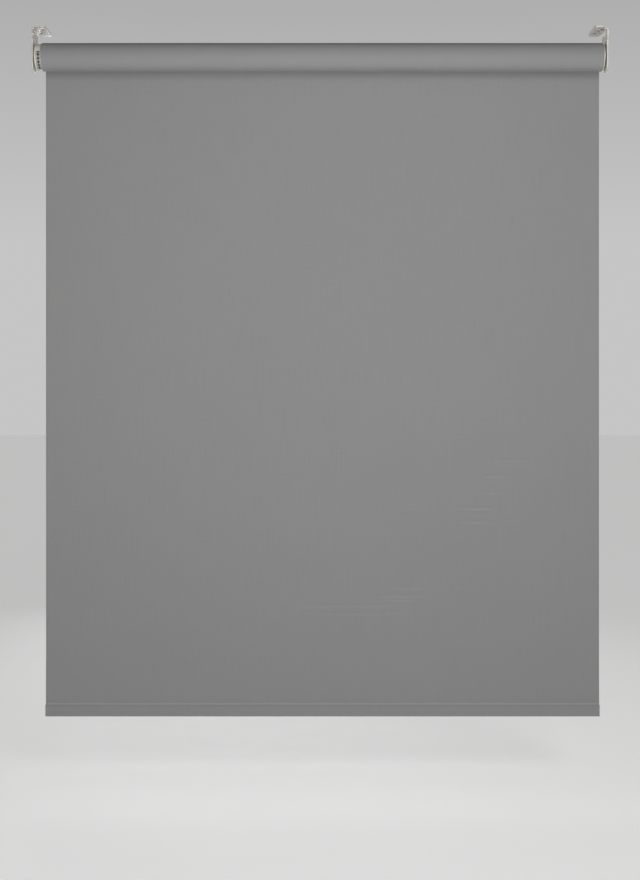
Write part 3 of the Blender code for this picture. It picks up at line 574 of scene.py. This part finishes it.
# The wheel's pocket and groove walls get a dark painted shade.
wheel_plastic = hard_finish(
    "wheel_plastic", (0.27, 0.265, 0.243), (0.34, 0.334, 0.308), (0.50, 0.38), rub=(0.46, 0.45, 0.42),
    cut=(0.055, 0.054, 0.050),
)
spring_steel = hard_finish("spring_steel", (0.38, 0.38, 0.39), (0.55, 0.55, 0.56), (0.42, 0.26), metallic=1.0)
aluminium = hard_finish(
    "aluminium", (0.62, 0.62, 0.63), (0.78, 0.78, 0.79), (0.40, 0.24), stretch=(0.04, 1.0, 1.0), metallic=1.0
)
cap_plastic = hard_finish(
    "cap_plastic", (0.15, 0.15, 0.15), (0.20, 0.20, 0.20), (0.50, 0.38), rub=(0.27, 0.27, 0.27)
)
floor_finish = hard_finish(
    "pale_floor", (0.80, 0.80, 0.79), (0.84, 0.84, 0.83), (0.80, 0.70), stretch=(0.3, 0.3, 0.3)
)
floor_shader = floor_finish.node_tree.nodes["Principled BSDF"]
floor_shader.inputs["Emission Color"].default_value = (1.0, 1.0, 1.0, 1.0)
floor_shader.inputs["Emission Strength"].default_value = FLOOR_GLOW
print("materials:", [finish.name for finish in bpy.data.materials if finish.users])

# %% [markdown]
# ## Cloth
#
# The cloth is one strip in the real blind, but its parts move apart: the inner turns go round with the tube,
# the outermost turn stays where the roll is seen, the hanging part shortens, and the hem rises. So it is made
# in four pieces that meet edge to edge in line with each other. A strip of cloth is a grid primitive whose
# rows are laid along a path seen from the side, then given its thickness by Solidify. Its map is in metres of
# flat cloth.

# %% Paths seen from the side


def between(start, end, share):
    return start + (end - start) * share


def round_point(radius, angle, centre=(0.0, AXIS_Z)):
    """The place (y, z) at an angle on a circle. Angles go from the back over the top."""
    return (centre[0] + radius * math.cos(angle), centre[1] + radius * math.sin(angle))


def turn_points(radius, start, end, steps, centre=(0.0, AXIS_Z)):
    """Places along an arc."""
    return [round_point(radius, between(start, end, n / steps), centre) for n in range(steps + 1)]


def ease(share):
    """Goes smoothly from 0 to 1 as share does, and stays there beyond."""
    share = min(max(share, 0.0), 1.0)
    return share * share * (3 - 2 * share)


# %% A strip of cloth
CLOTH_THICKNESS = 0.00048
SHEET_Y = 0.0240
EDGE_CROWDING = 0.5


def strip_of_cloth(name, path, columns, finish, shape, along_start=0.0, along_sign=1.0):
    """A strip as wide as the blind whose rows follow path, a list of (y, z) places. The function shape moves
    each of its points a little. The map starts along_start metres down the flat cloth."""
    start_fresh()
    bpy.ops.mesh.primitive_grid_add(x_subdivisions=columns, y_subdivisions=len(path) - 1, size=1.0)
    strip = name_it(name)
    reached = [0.0]
    for (y0, z0), (y1, z1) in zip(path, path[1:]):
        reached.append(reached[-1] + math.hypot(y1 - y0, z1 - z0))
    flat_place = []
    for vertex in strip.data.vertices:
        share = vertex.co.x
        crowded = share * (1 - EDGE_CROWDING) + EDGE_CROWDING * math.sin(math.pi * share) / 2
        row = round((vertex.co.y + 0.5) * (len(path) - 1))
        across = crowded * CLOTH_WIDTH
        flat_place.append((across, along_start + along_sign * reached[row]))
        place = Vector((CLOTH_MIDDLE + across, *path[row]))
        vertex.co = shape(place, row)
    corners_map = strip.data.uv_layers.active.data
    for loop in strip.data.loops:
        corners_map[loop.index].uv = flat_place[loop.vertex_index]
    use_modifier(strip, "SOLIDIFY", thickness=CLOTH_THICKNESS, offset=0.0, use_even_offset=True)
    strip.data.materials.append(finish)
    bpy.ops.object.shade_smooth_by_angle(angle=SMOOTH_ANGLE)
    count(strip)
    return strip, reached[-1]


# %% [markdown]
# ### The hanging part
#
# It leaves the back of the roll, so the blind hangs close to the glass. Stiffened cloth with a bar in its hem
# is almost flat. It bows back by a millimetre here and there, never toward the roll, so that it stays clear
# when it is raised. Its cut edges curl back very slightly, which shades one edge and lights the other.

# %% How the hanging cloth bows
BOW = 0.0006
WAVES = [(5.1, 2.1, 0.4, 1.0), (11.3, -3.7, 1.9, 0.5)]
WAVE_PEAK = 1.5
CURL, CURL_WIDTH = 0.0005, 0.012
STILL_ZONE, STILL_EDGE = 0.12, 0.06


def free_to_move(place, still):
    """0 at the top and bottom of the hanging cloth, and 1 farther than still from both."""
    return ease((AXIS_Z - place.z) / still) * ease((place.z - HEM_TOP) / still)


def bowed(place, row):
    """Moves a point of the hanging cloth a little back, and not at all at its top and bottom."""
    wave = WAVE_PEAK
    for across, up_blind, start, swing in WAVES:
        wave += swing * math.sin(across * place.x + up_blind * place.z + start)
    from_edge = CLOTH_WIDTH / 2 - abs(place.x - CLOTH_MIDDLE)
    curl = max(0.0, 1 - from_edge / CURL_WIDTH) ** 2
    back = BOW * wave * free_to_move(place, STILL_ZONE) + CURL * curl * free_to_move(place, STILL_EDGE)
    return Vector((place.x, place.y + back, place.z))


# %% Hanging cloth
CELL = 0.008
HEM_GAP = 0.00002


drop_rows = round((AXIS_Z - HEM_TOP) / CELL)
drop_end = HEM_TOP + HEM_GAP
drop_path = [(SHEET_Y, between(AXIS_Z, drop_end, n / drop_rows)) for n in range(drop_rows + 1)]
drop, drop_length = strip_of_cloth("cloth_hanging", drop_path, 120, hanging_cloth, bowed)
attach(drop, "mount")
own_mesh(drop)
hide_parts("fabric_sheet")

# %% [markdown]
# ### The roll
#
# The outermost turn starts where the hanging part leaves, at the back, and goes over the top and round the
# front until it slips behind the hanging part. It is not turned with the tube, because its edge must stay
# hidden there. Inside it, one and a half turns spiral down to the tube and do turn with it: their edges show
# at the ends of the roll. Each turn sits a fraction of a millimetre further in or out, as wound cloth does.

# %% Outermost turn
OUTER_RADIUS = SHEET_Y
WRAP_ANGLE = math.radians(348)
OUTER_STEPS = 116
ROLL_UNEVEN = 0.00005
SWELLS = [(7.3, 1.0), (16.0, 3.1)]
JOIN_ANGLE = 0.6


def slightly_uneven(place, row):
    """Lets the radius vary by a hair along and round the roll, and not where the hanging part joins."""
    angle = math.atan2(place.z - AXIS_Z, place.y) % math.tau
    swell = sum(math.sin(along * place.x + turning * angle) for along, turning in SWELLS)
    outward = Vector((0.0, math.cos(angle), math.sin(angle)))
    return place + outward * swell * ROLL_UNEVEN * ease(angle / JOIN_ANGLE)


outer_path = turn_points(OUTER_RADIUS, 0.0, WRAP_ANGLE, OUTER_STEPS)
outer_turn, outer_length = strip_of_cloth(
    "cloth_outer_turn", outer_path, 60, rolled_cloth, slightly_uneven, along_sign=-1.0
)
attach(outer_turn, "mount")

# %% Inner turns
INNER_TURNS = 1.5
INNER_STEPS = 150
TURN_GAP, TUBE_GAP = 0.00002, 0.00004
INNER_START_RADIUS = OUTER_RADIUS - CLOTH_THICKNESS - TURN_GAP
INNER_RADIUS = TUBE_RADIUS + CLOTH_THICKNESS / 2 + TUBE_GAP
TELESCOPE, TELESCOPE_WAVES = 0.0004, 1.1
STILL_MIDDLE = 0.4


def telescoped(place, row):
    """Slips each turn along the roll by its own amount near the ends, and a little in on the whole."""
    inward = -math.copysign(1.0, place.x - CLOTH_MIDDLE)
    slip = inward + math.sin(math.tau * TELESCOPE_WAVES * row / INNER_STEPS)
    share = ease(abs(place.x - CLOTH_MIDDLE) / STILL_MIDDLE)
    return Vector((place.x + TELESCOPE * slip * share, place.y, place.z))


inner_path = []
for step in range(INNER_STEPS + 1):
    share = step / INNER_STEPS
    radius = between(INNER_START_RADIUS, INNER_RADIUS, share)
    inner_path.append(round_point(radius, math.tau * INNER_TURNS * share))
inner_turns, inner_length = strip_of_cloth(
    "cloth_inner_turns", inner_path, 24, rolled_cloth, telescoped, along_start=-outer_length, along_sign=-1.0
)
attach(inner_turns, "roller")
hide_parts("fabric_roll")
print(f"outer turn {outer_length:.3f} m, inner turns {inner_length:.3f} m of cloth")

# %% [markdown]
# ### The hem
#
# The end of the cloth is folded forward round the bottom bar and welded to itself just above it. The front
# layer leans back over the bar to the weld. That lean and the weld are painted lighter, which cancels the
# shade of their crease, and they show as a fine light line across the blind. The fold follows a path seen
# from the side: down the back, round the bar's foot, up the front, over its shoulder and up the weld.

# %% The hem's path
BAR_LOW, BAR_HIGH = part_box("bottom_bar")
BAR_Y = (BAR_LOW.y + BAR_HIGH.y) / 2
BAR_HALF = (BAR_HIGH.y - BAR_LOW.y) / 2
FOLD_GAP, WELD_GAP = 0.0003, 0.00001
FOLD_RADIUS = BAR_HALF + FOLD_GAP + CLOTH_THICKNESS / 2
WELD_HEIGHT = 0.0013
WELD_FRONT_Y = SHEET_Y - CLOTH_THICKNESS - WELD_GAP
WELD_BEND = 0.8
FRONT_EDGE_DROP = 0.0004
BACK_STEPS, FOOT_STEPS, FRONT_STEPS, HEAD_STEPS, LEAN_STEPS = 8, 20, 6, 10, 5

foot_centre = (BAR_Y, BAR_LOW.z + BAR_HALF)
head_centre = (BAR_Y, BAR_HIGH.z - BAR_HALF)
weld_foot = (WELD_FRONT_Y, HEM_TOP - WELD_HEIGHT)
heading = math.atan2(weld_foot[1] - head_centre[1], weld_foot[0] - head_centre[0])
leave_angle = heading + math.acos(FOLD_RADIUS / math.dist(weld_foot, head_centre))
leave_point = round_point(FOLD_RADIUS, leave_angle, head_centre)

back_top, back_foot = HEM_TOP - WELD_HEIGHT, HEM_TOP - 3 * WELD_HEIGHT
hem_path = [(SHEET_Y, HEM_TOP), (SHEET_Y, back_top)]
for step in range(1, BACK_STEPS + 1):
    share = step / BACK_STEPS
    back_y = between(SHEET_Y, BAR_Y + FOLD_RADIUS, ease(share))
    hem_path.append((back_y, between(back_top, back_foot, share)))
hem_path += turn_points(FOLD_RADIUS, 0.0, -math.pi, FOOT_STEPS, foot_centre)
for step in range(1, FRONT_STEPS):
    front_z = between(foot_centre[1], head_centre[1], step / FRONT_STEPS)
    hem_path.append((BAR_Y - FOLD_RADIUS, front_z))
hem_path += turn_points(FOLD_RADIUS, math.pi, leave_angle, HEAD_STEPS, head_centre)
for step in range(1, LEAN_STEPS):
    hem_path.append(tuple(between(a, b, step / LEAN_STEPS) for a, b in zip(leave_point, weld_foot)))
hem_path += [(WELD_FRONT_Y, HEM_TOP - WELD_HEIGHT * WELD_BEND), (WELD_FRONT_Y, HEM_TOP - FRONT_EDGE_DROP)]
print("hem path:", len(hem_path), "places")

# %% The hem itself
PULL = 0.00006
PULL_WAVES = [(21.0, 0.7), (47.0, 1.2)]
FRONT_START, FRONT_FADE = 0.001, 0.003


def bar_shows(place, row):
    """The front of the hem is a little uneven where the cloth is pulled over the bar."""
    pulled = PULL * sum(math.sin(across * place.x + start) for across, start in PULL_WAVES)
    front = ease((SHEET_Y - FRONT_START - place.y) / FRONT_FADE)
    return Vector((place.x, place.y + pulled * front, place.z))


hem, hem_length = strip_of_cloth("cloth_hem", hem_path, 120, rolled_cloth, bar_shows, along_start=drop_length)
# Where the painted light starts: the top of the bar's shoulder, so that it covers the lean and the weld.
painted_light_start = drop_length + hem_length - WELD_HEIGHT - math.dist(leave_point, weld_foot)
hem.data.materials[0] = cloth_finish("hem_cloth_painted_light", False, painted_light_start)
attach(hem, "hem")
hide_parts("hem_pocket")
print(f"hem fold {hem_length:.4f} m of cloth")

print(f"flat cloth {drop_length + outer_length + inner_length + hem_length:.3f} m long in all")

# %% [markdown]
# ### Bar caps
#
# A thin plastic cap closes each end of the bottom bar, level with the cloth. It is a plate with round ends
# and a tongue that goes into the bar. A plane of the bar's height and thickness has its corners bevelled
# until the ends are round, and is extruded twice.

# %% Bar caps
CAP_FLANGE = 0.0015
TONGUE_LENGTH = 0.012
TONGUE_INSET = 0.0013
CAP_EDGE = 0.0004
CAP_ROUNDING = 0.98


def bar_cap(name, end, inward):
    """The cap at the end of the bar that lies at x = end. inward is +1 or -1, along X."""
    middle = (end, BAR_Y, (BAR_LOW.z + BAR_HIGH.z) / 2)
    cap = rectangle(name, BAR_HIGH.z - BAR_LOW.z, 2 * BAR_HALF, middle, (0.0, math.pi / 2, 0.0))
    edit_all()
    bpy.ops.mesh.bevel(offset=BAR_HALF * CAP_ROUNDING, segments=8, affect="VERTICES")
    bpy.ops.mesh.select_all(action="SELECT")
    extrude(inward * CAP_FLANGE, 0.0, 0.0)
    bpy.ops.mesh.inset(thickness=TONGUE_INSET)
    extrude(inward * TONGUE_LENGTH, 0.0, 0.0)
    face_outwards()
    soften(cap, CAP_EDGE)
    fit(cap, cap_plastic, "hem", name.replace("end_cap", "bar_cap"))


bar_cap("end_cap_left", ROLL_LEFT, 1)
bar_cap("end_cap_right", ROLL_RIGHT, -1)

# %% [markdown]
# ## Brackets
#
# Each bracket is one strip of steel, stamped, bent once and rounded at the corners. So it is modelled as a
# sheet of no thickness first: a plane for the foot, whose inner edge is narrowed to a neck and extruded down
# for the side plate. The neck keeps the bend clear of the foot's corners. The bend is a bevel along that
# edge, the corners are bevelled too, and Solidify gives the steel its gauge. The holes are cut last.

# %% Bracket sizes
STEEL = 0.0025
FOOT_LENGTH, FOOT_DEPTH = 0.026, 0.064
NECK_DEPTH, FOOT_ROOT, NECK_ROOT = 0.044, 0.0085, 0.0062
PLATE_DEPTH, PLATE_BOTTOM = 0.040, -0.0725
SHOULDER_Z, TAPER_Z = -0.020, -0.027
BEND_RADIUS = 0.004
FOOT_CORNER, PLATE_CORNER, SHOULDER_CORNER, ROOT_CORNER = 0.005, 0.014, 0.0025, 0.0011
STAMPED_EDGE = 0.0005
SCREW_HOLE, PILOT_HOLE = 0.0027, 0.0019
FOOT_HOLES = [(0.0096, 0.0130, SCREW_HOLE), (0.0137, 0.0, PILOT_HOLE), (0.0178, -0.0130, SCREW_HOLE)]
SIDE_HOLES = [(-0.016, -0.011), (0.016, -0.011)]
LEFT_FACE, RIGHT_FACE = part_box("left_bracket")[0].x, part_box("right_bracket")[1].x
print(f"brackets from {LEFT_FACE:.3f} to {RIGHT_FACE:.3f}")

# %% Holes and corners
HOLE_STEPS = 40
SAME_PLACE = 1e-5


def near(value, target):
    return abs(value - target) < SAME_PLACE


def round_corners(axis, places, radius, segments):
    """Bevels the corners of a sheet that lie at one of the places along an axis."""
    pick("VERT", lambda corner: any(near(getattr(corner.co, axis), place) for place in places))
    bpy.ops.mesh.bevel(offset=radius, segments=segments, affect="VERTICES")


def drill(name, place, radius, along):
    """A rod to cut a round hole with, centred at place, along the named axis."""
    start_fresh()
    turned = (0.0, math.pi / 2, 0.0) if along == "X" else (0.0, 0.0, 0.0)
    bpy.ops.mesh.primitive_cylinder_add(
        vertices=HOLE_STEPS, radius=radius, depth=4 * STEEL, location=place, rotation=turned
    )
    return name_it(name)


def in_foot_hole(face):
    """Whether a face of a finished bracket belongs to the wall of a hole in its foot."""
    if abs(face.normal.z) > 0.5 or face.center.z < -STEEL:
        return False
    inset, aside = min(face.center.x - LEFT_FACE, RIGHT_FACE - face.center.x), abs(face.center.y)
    gaps = [math.hypot(inset - x, aside - abs(y)) - radius for x, y, radius in FOOT_HOLES]
    return min(gaps) < STAMPED_EDGE


# %% Bending a bracket


def narrow(share, centre):
    """Scales the selected edge along Y about a centre."""
    bpy.ops.transform.resize(value=(1.0, share, 1.0), center_override=centre)


def bent_plate(name):
    """A bracket with its outer face at x = 0 and its foot along +X, still without a socket."""
    mid = STEEL / 2
    middle = ((FOOT_LENGTH + FOOT_ROOT) / 2, 0.0, -mid)
    plate = rectangle(name, FOOT_LENGTH - FOOT_ROOT, FOOT_DEPTH, middle)
    bpy.ops.object.mode_set(mode="EDIT")
    pick("EDGE", lambda edge: all(near(end.co.x, FOOT_ROOT) for end in edge.verts))
    extrude(NECK_ROOT - FOOT_ROOT, 0.0, 0.0)
    narrow(NECK_DEPTH / FOOT_DEPTH, (NECK_ROOT, 0.0, -mid))
    extrude(mid - NECK_ROOT, 0.0, 0.0)
    extrude(0.0, 0.0, SHOULDER_Z + mid)
    extrude(0.0, 0.0, TAPER_Z - SHOULDER_Z)
    narrow(PLATE_DEPTH / NECK_DEPTH, (mid, 0.0, TAPER_Z))
    extrude(0.0, 0.0, PLATE_BOTTOM - TAPER_Z)
    pick("EDGE", lambda edge: all(near(end.co.x, mid) and near(end.co.z, -mid) for end in edge.verts))
    bpy.ops.mesh.bevel(offset=BEND_RADIUS - mid, segments=8, affect="EDGES")
    bpy.ops.mesh.select_all(action="SELECT")
    bpy.ops.mesh.dissolve_limited(angle_limit=math.radians(1))
    round_corners("x", [FOOT_LENGTH], FOOT_CORNER, 10)
    round_corners("z", [PLATE_BOTTOM], PLATE_CORNER, 12)
    round_corners("z", [SHOULDER_Z, TAPER_Z], SHOULDER_CORNER, 5)
    round_corners("x", [FOOT_ROOT, NECK_ROOT], ROOT_CORNER, 4)
    face_outwards()
    use_modifier(plate, "SOLIDIFY", thickness=STEEL, offset=0.0, use_even_offset=True)
    for x, y, radius in FOOT_HOLES:
        cut_or_join(plate, drill("foot_hole", (x, y, -mid), radius, "Z"), "DIFFERENCE")
    for y, z in SIDE_HOLES:
        cut_or_join(plate, drill("side_hole", (mid, y, z), SCREW_HOLE, "X"), "DIFFERENCE")
    return plate


# %% [markdown]
# The left bracket has a square socket, which keeps the clutch from turning. The right one has a round hole
# for the pin, and is the same stamping turned half a turn about the upright.

# %% Both brackets
SQUARE_SOCKET = 0.0102
PIN_SOCKET_RADIUS = 0.0033

left_plate = bent_plate("bracket_left")
start_fresh()
left_plate.select_set(True)
bpy.context.view_layer.objects.active = left_plate
bpy.ops.object.duplicate()
right_plate = name_it("bracket_right")

bpy.ops.mesh.primitive_cube_add(size=SQUARE_SOCKET, location=(STEEL / 2, 0.0, AXIS_Z))
cut_or_join(left_plate, name_it("square_socket"), "DIFFERENCE")
cut_or_join(right_plate, drill("pin_socket", (STEEL / 2, 0.0, AXIS_Z), PIN_SOCKET_RADIUS, "X"), "DIFFERENCE")
left_plate.location = (LEFT_FACE, 0.0, 0.0)
right_plate.location = (RIGHT_FACE, 0.0, 0.0)
right_plate.rotation_euler = (0.0, 0.0, math.pi)
for plate, node in ((left_plate, "left_bracket"), (right_plate, "right_bracket")):
    soften(plate, STAMPED_EDGE)
    # Marks the walls of the foot's holes for their painted shade.
    mark_faces(plate, "painted_shade_wall", in_foot_hole)
    fit(plate, bracket_paint, "mount", node)

# %% [markdown]
# ## Chain clutch
#
# At the left end a still post carries a pocketed wheel, which the bead chain would turn. A disc behind the
# wheel and a hood over it keep the chain in place. These are round plastic mouldings. Their half outlines are
# drawn point by point and spun about the roller's axis, and square seats, pockets and hood are added to them.

# %% Round pieces by spinning
ROUND_STEPS = 96
WELD_DISTANCE = 1e-6


def spin_about_roller(steps, angle, copies=False):
    bpy.ops.mesh.spin(steps=steps, angle=angle, dupli=copies, center=AXIS, axis=(1.0, 0.0, 0.0))


def spun(name, outline, closed):
    """A piece spun about the roller's axis from an outline of (x, radius) points. An outline that isn't
    closed starts and ends on the axis."""
    start_fresh()
    x, radius = outline[0]
    bpy.ops.mesh.primitive_plane_add(size=0.0001, location=(x, 0.0, AXIS_Z + radius))
    piece = name_it(name)
    settle(piece)
    edit_all()
    bpy.ops.mesh.merge(type="CENTER")
    for (x0, radius0), (x1, radius1) in zip(outline, outline[1:]):
        extrude(x1 - x0, 0.0, radius1 - radius0)
    if closed:
        ends = [Vector((x, 0.0, AXIS_Z + radius)) for x, radius in (outline[0], outline[-1])]
        pick("VERT", lambda point: any(near(math.dist(point.co, end), 0.0) for end in ends))
        bpy.ops.mesh.edge_face_add()
    bpy.ops.mesh.select_all(action="SELECT")
    spin_about_roller(ROUND_STEPS, math.tau)
    bpy.ops.mesh.select_all(action="SELECT")
    bpy.ops.mesh.remove_doubles(threshold=WELD_DISTANCE)
    face_outwards()
    return piece


# %% Part of a ring, and a square block


def ring_part(name, ends, radii, angle, heading):
    """Part of a ring about the roller's axis, angle wide about heading, from the back over the top."""
    (x0, x1), (inner, outer) = ends, radii
    middle = ((x0 + x1) / 2, 0.0, AXIS_Z + (inner + outer) / 2)
    piece = rectangle(name, abs(x1 - x0), outer - inner, middle, (math.pi / 2, 0.0, 0.0))
    edit_all()
    spin_about_roller(round(ROUND_STEPS * angle / math.tau), angle)
    face_outwards()
    corners = [vertex.co - AXIS for vertex in piece.data.vertices]
    now = math.atan2(sum(corner.z for corner in corners), sum(corner.y for corner in corners))
    about_axis = Matrix.Rotation(heading - now, 4, "X")
    piece.matrix_world = Matrix.Translation(AXIS) @ about_axis @ Matrix.Translation(-AXIS)
    settle(piece)
    return piece


def block(name, ends, side):
    """A square block on the roller's axis between two places along it."""
    start_fresh()
    bpy.ops.mesh.primitive_cube_add(size=1.0, location=((ends[0] + ends[1]) / 2, 0.0, AXIS_Z))
    piece = name_it(name)
    piece.scale = (abs(ends[1] - ends[0]), side, side)
    settle(piece)
    return piece


# %% [markdown]
# The post ends in a square boss that sits in the bracket's socket. A flange rests against the bracket, a
# square seat holds the guard, and a pilot hole in the free end takes the screw.

# %% Clutch post
LAP = 0.0002
RUNNING_GAP = 0.0003
MOULDED_EDGE = 0.0003
GUARD_THICKNESS = 0.003
CORE_START, CORE_END = (corner.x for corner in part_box("clutch_core"))
GUARD_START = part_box("chain_guard")[0].x
FLANGE_START = LEFT_FACE + STEEL + RUNNING_GAP
FLANGE_END = GUARD_START - RUNNING_GAP
GUARD_FACE = GUARD_START + GUARD_THICKNESS
FLANGE_RADIUS, POST_RADIUS, PILOT_RADIUS, PILOT_DEPTH = 0.015, 0.006, 0.0018, 0.0107
BOSS_SIDE, SEAT_SIDE = 0.0096, 0.017

core_outline = [
    (FLANGE_START, 0.0), (FLANGE_START, FLANGE_RADIUS), (FLANGE_END, FLANGE_RADIUS),
    (FLANGE_END, POST_RADIUS), (CORE_END, POST_RADIUS), (CORE_END, PILOT_RADIUS),
    (CORE_END - PILOT_DEPTH, PILOT_RADIUS), (CORE_END - PILOT_DEPTH, 0.0),
]
core = spun("clutch_post", core_outline, closed=False)
cut_or_join(core, block("boss", (CORE_START, FLANGE_START + LAP), BOSS_SIDE), "UNION")
cut_or_join(core, block("seat", (FLANGE_END - LAP, GUARD_FACE), SEAT_SIDE), "UNION")
soften(core, MOULDED_EDGE)
fit(core, clutch_plastic, "mount", "clutch_core")

# %% Chain guard and its hood
BEADS, BEAD_SPACING = 20, 0.006
RIM_RISE = 0.0012
PITCH_RADIUS = BEAD_SPACING / (2 * math.sin(math.pi / BEADS))
WHEEL_RADIUS = PITCH_RADIUS + RIM_RISE
GUARD_RADIUS = (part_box("chain_guard")[1].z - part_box("chain_guard")[0].z) / 2
HOOD_GAP, HOOD_STEP = 0.0006, 0.0004
HOOD_ANGLE = math.radians(148)
WHEEL_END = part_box("chain_guard")[1].x
CUTTER_OVERRUN = 0.002

guard_edge = [(GUARD_START, GUARD_RADIUS), (GUARD_FACE, GUARD_RADIUS)]
guard = spun("guard_disc", [(GUARD_START, 0.0), *guard_edge, (GUARD_FACE, 0.0)], closed=False)
hood_radii = (WHEEL_RADIUS + HOOD_GAP, GUARD_RADIUS - HOOD_STEP)
hood = ring_part("hood", (GUARD_FACE - LAP, WHEEL_END), hood_radii, HOOD_ANGLE, math.pi / 2)
cut_or_join(guard, hood, "UNION")
cutter_ends = (GUARD_START - CUTTER_OVERRUN, GUARD_FACE + CUTTER_OVERRUN)
cut_or_join(guard, block("seat_cutter", cutter_ends, SEAT_SIDE + 2 * RUNNING_GAP), "DIFFERENCE")
soften(guard, MOULDED_EDGE)
fit(guard, clutch_plastic, "mount", "chain_guard")

# %% [markdown]
# The wheel's rim has a pocket for every bead and a narrow groove for the links between them. One ball is
# modelled, spun into a ring of twenty, and cut out of the rim in one go. A collar with a gap reaches into the
# roller, where it turns the drive sleeve.

# %% The wheel before its pockets
WHEEL_START = GUARD_FACE + RUNNING_GAP
GROOVE_HALF, GROOVE_DEPTH = 0.0007, 0.0012
BORE_RADIUS = POST_RADIUS + RUNNING_GAP

wheel_middle = (WHEEL_START + WHEEL_END) / 2
groove_floor = WHEEL_RADIUS - GROOVE_DEPTH
wheel_outline = [
    (WHEEL_START, BORE_RADIUS), (WHEEL_START, WHEEL_RADIUS), (wheel_middle - GROOVE_HALF, WHEEL_RADIUS),
    (wheel_middle - GROOVE_HALF, groove_floor), (wheel_middle + GROOVE_HALF, groove_floor),
    (wheel_middle + GROOVE_HALF, WHEEL_RADIUS), (WHEEL_END, WHEEL_RADIUS), (WHEEL_END, BORE_RADIUS),
]
wheel = spun("pocket_wheel", wheel_outline, closed=True)
count(wheel)

# %% Pockets and collar
BEAD_RADIUS = 0.00235
COLLAR_RADII = (0.0078, 0.0101)
COLLAR_ANGLE = math.radians(250)
COLLAR_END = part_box("chain_wheel")[1].x
WHEEL_EDGE = 0.00015
RIM_EDGE = 0.0002


def in_rim(face):
    """Whether a face is the wall of a pocket or of the groove, inside the wheel's rim."""
    from_axis = math.hypot(face.center.y, face.center.z - AXIS_Z)
    by_the_beads = abs(face.center.x - wheel_middle) < BEAD_RADIUS
    deepest = PITCH_RADIUS - BEAD_RADIUS - WELD_DISTANCE
    return by_the_beads and deepest < from_axis < WHEEL_RADIUS - RIM_EDGE


start_fresh()
bpy.ops.mesh.primitive_uv_sphere_add(
    segments=20, ring_count=10, radius=BEAD_RADIUS, location=(wheel_middle, 0.0, AXIS_Z + PITCH_RADIUS)
)
balls = name_it("balls")
settle(balls)
edit_all()
spin_about_roller(BEADS - 1, math.tau * (BEADS - 1) / BEADS, copies=True)
bpy.ops.object.mode_set(mode="OBJECT")
cut_or_join(wheel, balls, "DIFFERENCE")
collar = ring_part("collar", (WHEEL_END - LAP, COLLAR_END), COLLAR_RADII, COLLAR_ANGLE, -math.pi / 2)
cut_or_join(wheel, collar, "UNION")
soften(wheel, WHEEL_EDGE)
# Marks the walls of the pockets and groove for their painted shade.
mark_faces(wheel, "painted_shade_wall", in_rim)
fit(wheel, wheel_plastic, "chain_wheel", "chain_wheel")

# %% [markdown]
# ## Pin spring
#
# A small spring pushes the right-hand pin out. It is pressed shorter when the pin is pushed in, so it is
# modelled anew as a wire that can be squashed: a small circle, turned by Screw along the roller's axis.

# %% Pin spring
SPRING_WIRE = 0.00035
SPRING_TURNS, TURN_STEPS = 7, 28

spring_low, spring_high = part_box("idle_spring")
coil_radius = (spring_high.z - spring_low.z) / 2 - SPRING_WIRE
spring_length = spring_high.x - spring_low.x
start_fresh()
bpy.ops.mesh.primitive_circle_add(
    vertices=10, radius=SPRING_WIRE, location=(spring_low.x + SPRING_WIRE, 0.0, coil_radius),
    rotation=(math.pi / 2, 0.0, 0.0),
)
pin_spring = name_it("pin_spring")
settle(pin_spring)
use_modifier(
    pin_spring, "SCREW", axis="X", angle=math.tau, iterations=SPRING_TURNS, steps=TURN_STEPS,
    render_steps=TURN_STEPS, screw_offset=(spring_length - 2 * SPRING_WIRE) / SPRING_TURNS,
)
edit_all()
bpy.ops.mesh.fill_holes(sides=0)
face_outwards()
pin_spring.location.z = AXIS_Z
settle(pin_spring)
bpy.ops.object.shade_smooth_by_angle(angle=SMOOTH_ANGLE)
pin_spring.data.materials.append(spring_steel)
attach(pin_spring, "mount")
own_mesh(pin_spring)
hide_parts("idle_spring")
count(pin_spring)

# %% [markdown]
# ## Pieces that keep their shape
#
# Wrap springs, screw, washer, tube, bar, plugs and bush are already right in the frame. They only take their
# finish, by the part of the blind that each belongs to.

# %% Finishes for the frame's own pieces
KEPT = {
    aluminium: ["roller_tube", "bottom_bar"],
    spring_steel: [
        "wrap_spring_a", "wrap_spring_b", "idle_circlip", "idle_pin", "core_washer", "core_screw",
    ],
    clutch_plastic: ["drive_sleeve", "idle_plug", "idle_bush", "bush_cap"],
    cap_plastic: ["fabric_spline"],
}
for finish, names in KEPT.items():
    for name in names:
        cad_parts[name].material_slots[0].material = finish
    print(finish.name, "on", names)

# %% [markdown]
# ## Floor
#
# A plain pale floor stands a little below the bar. It glows faintly, like a light table, which keeps it even
# and lights the blind softly from below. It is not part of the blind.

# %% Floor
FLOOR_Z = -1.32
FLOOR_SIZE = 80.0

start_fresh()
bpy.ops.mesh.primitive_plane_add(size=FLOOR_SIZE, location=(0.0, 0.0, FLOOR_Z))
floor = name_it("floor")
settle(floor)
floor.data.materials.append(floor_finish)
print("floor at", FLOOR_Z)

# %% Finish
start_fresh()
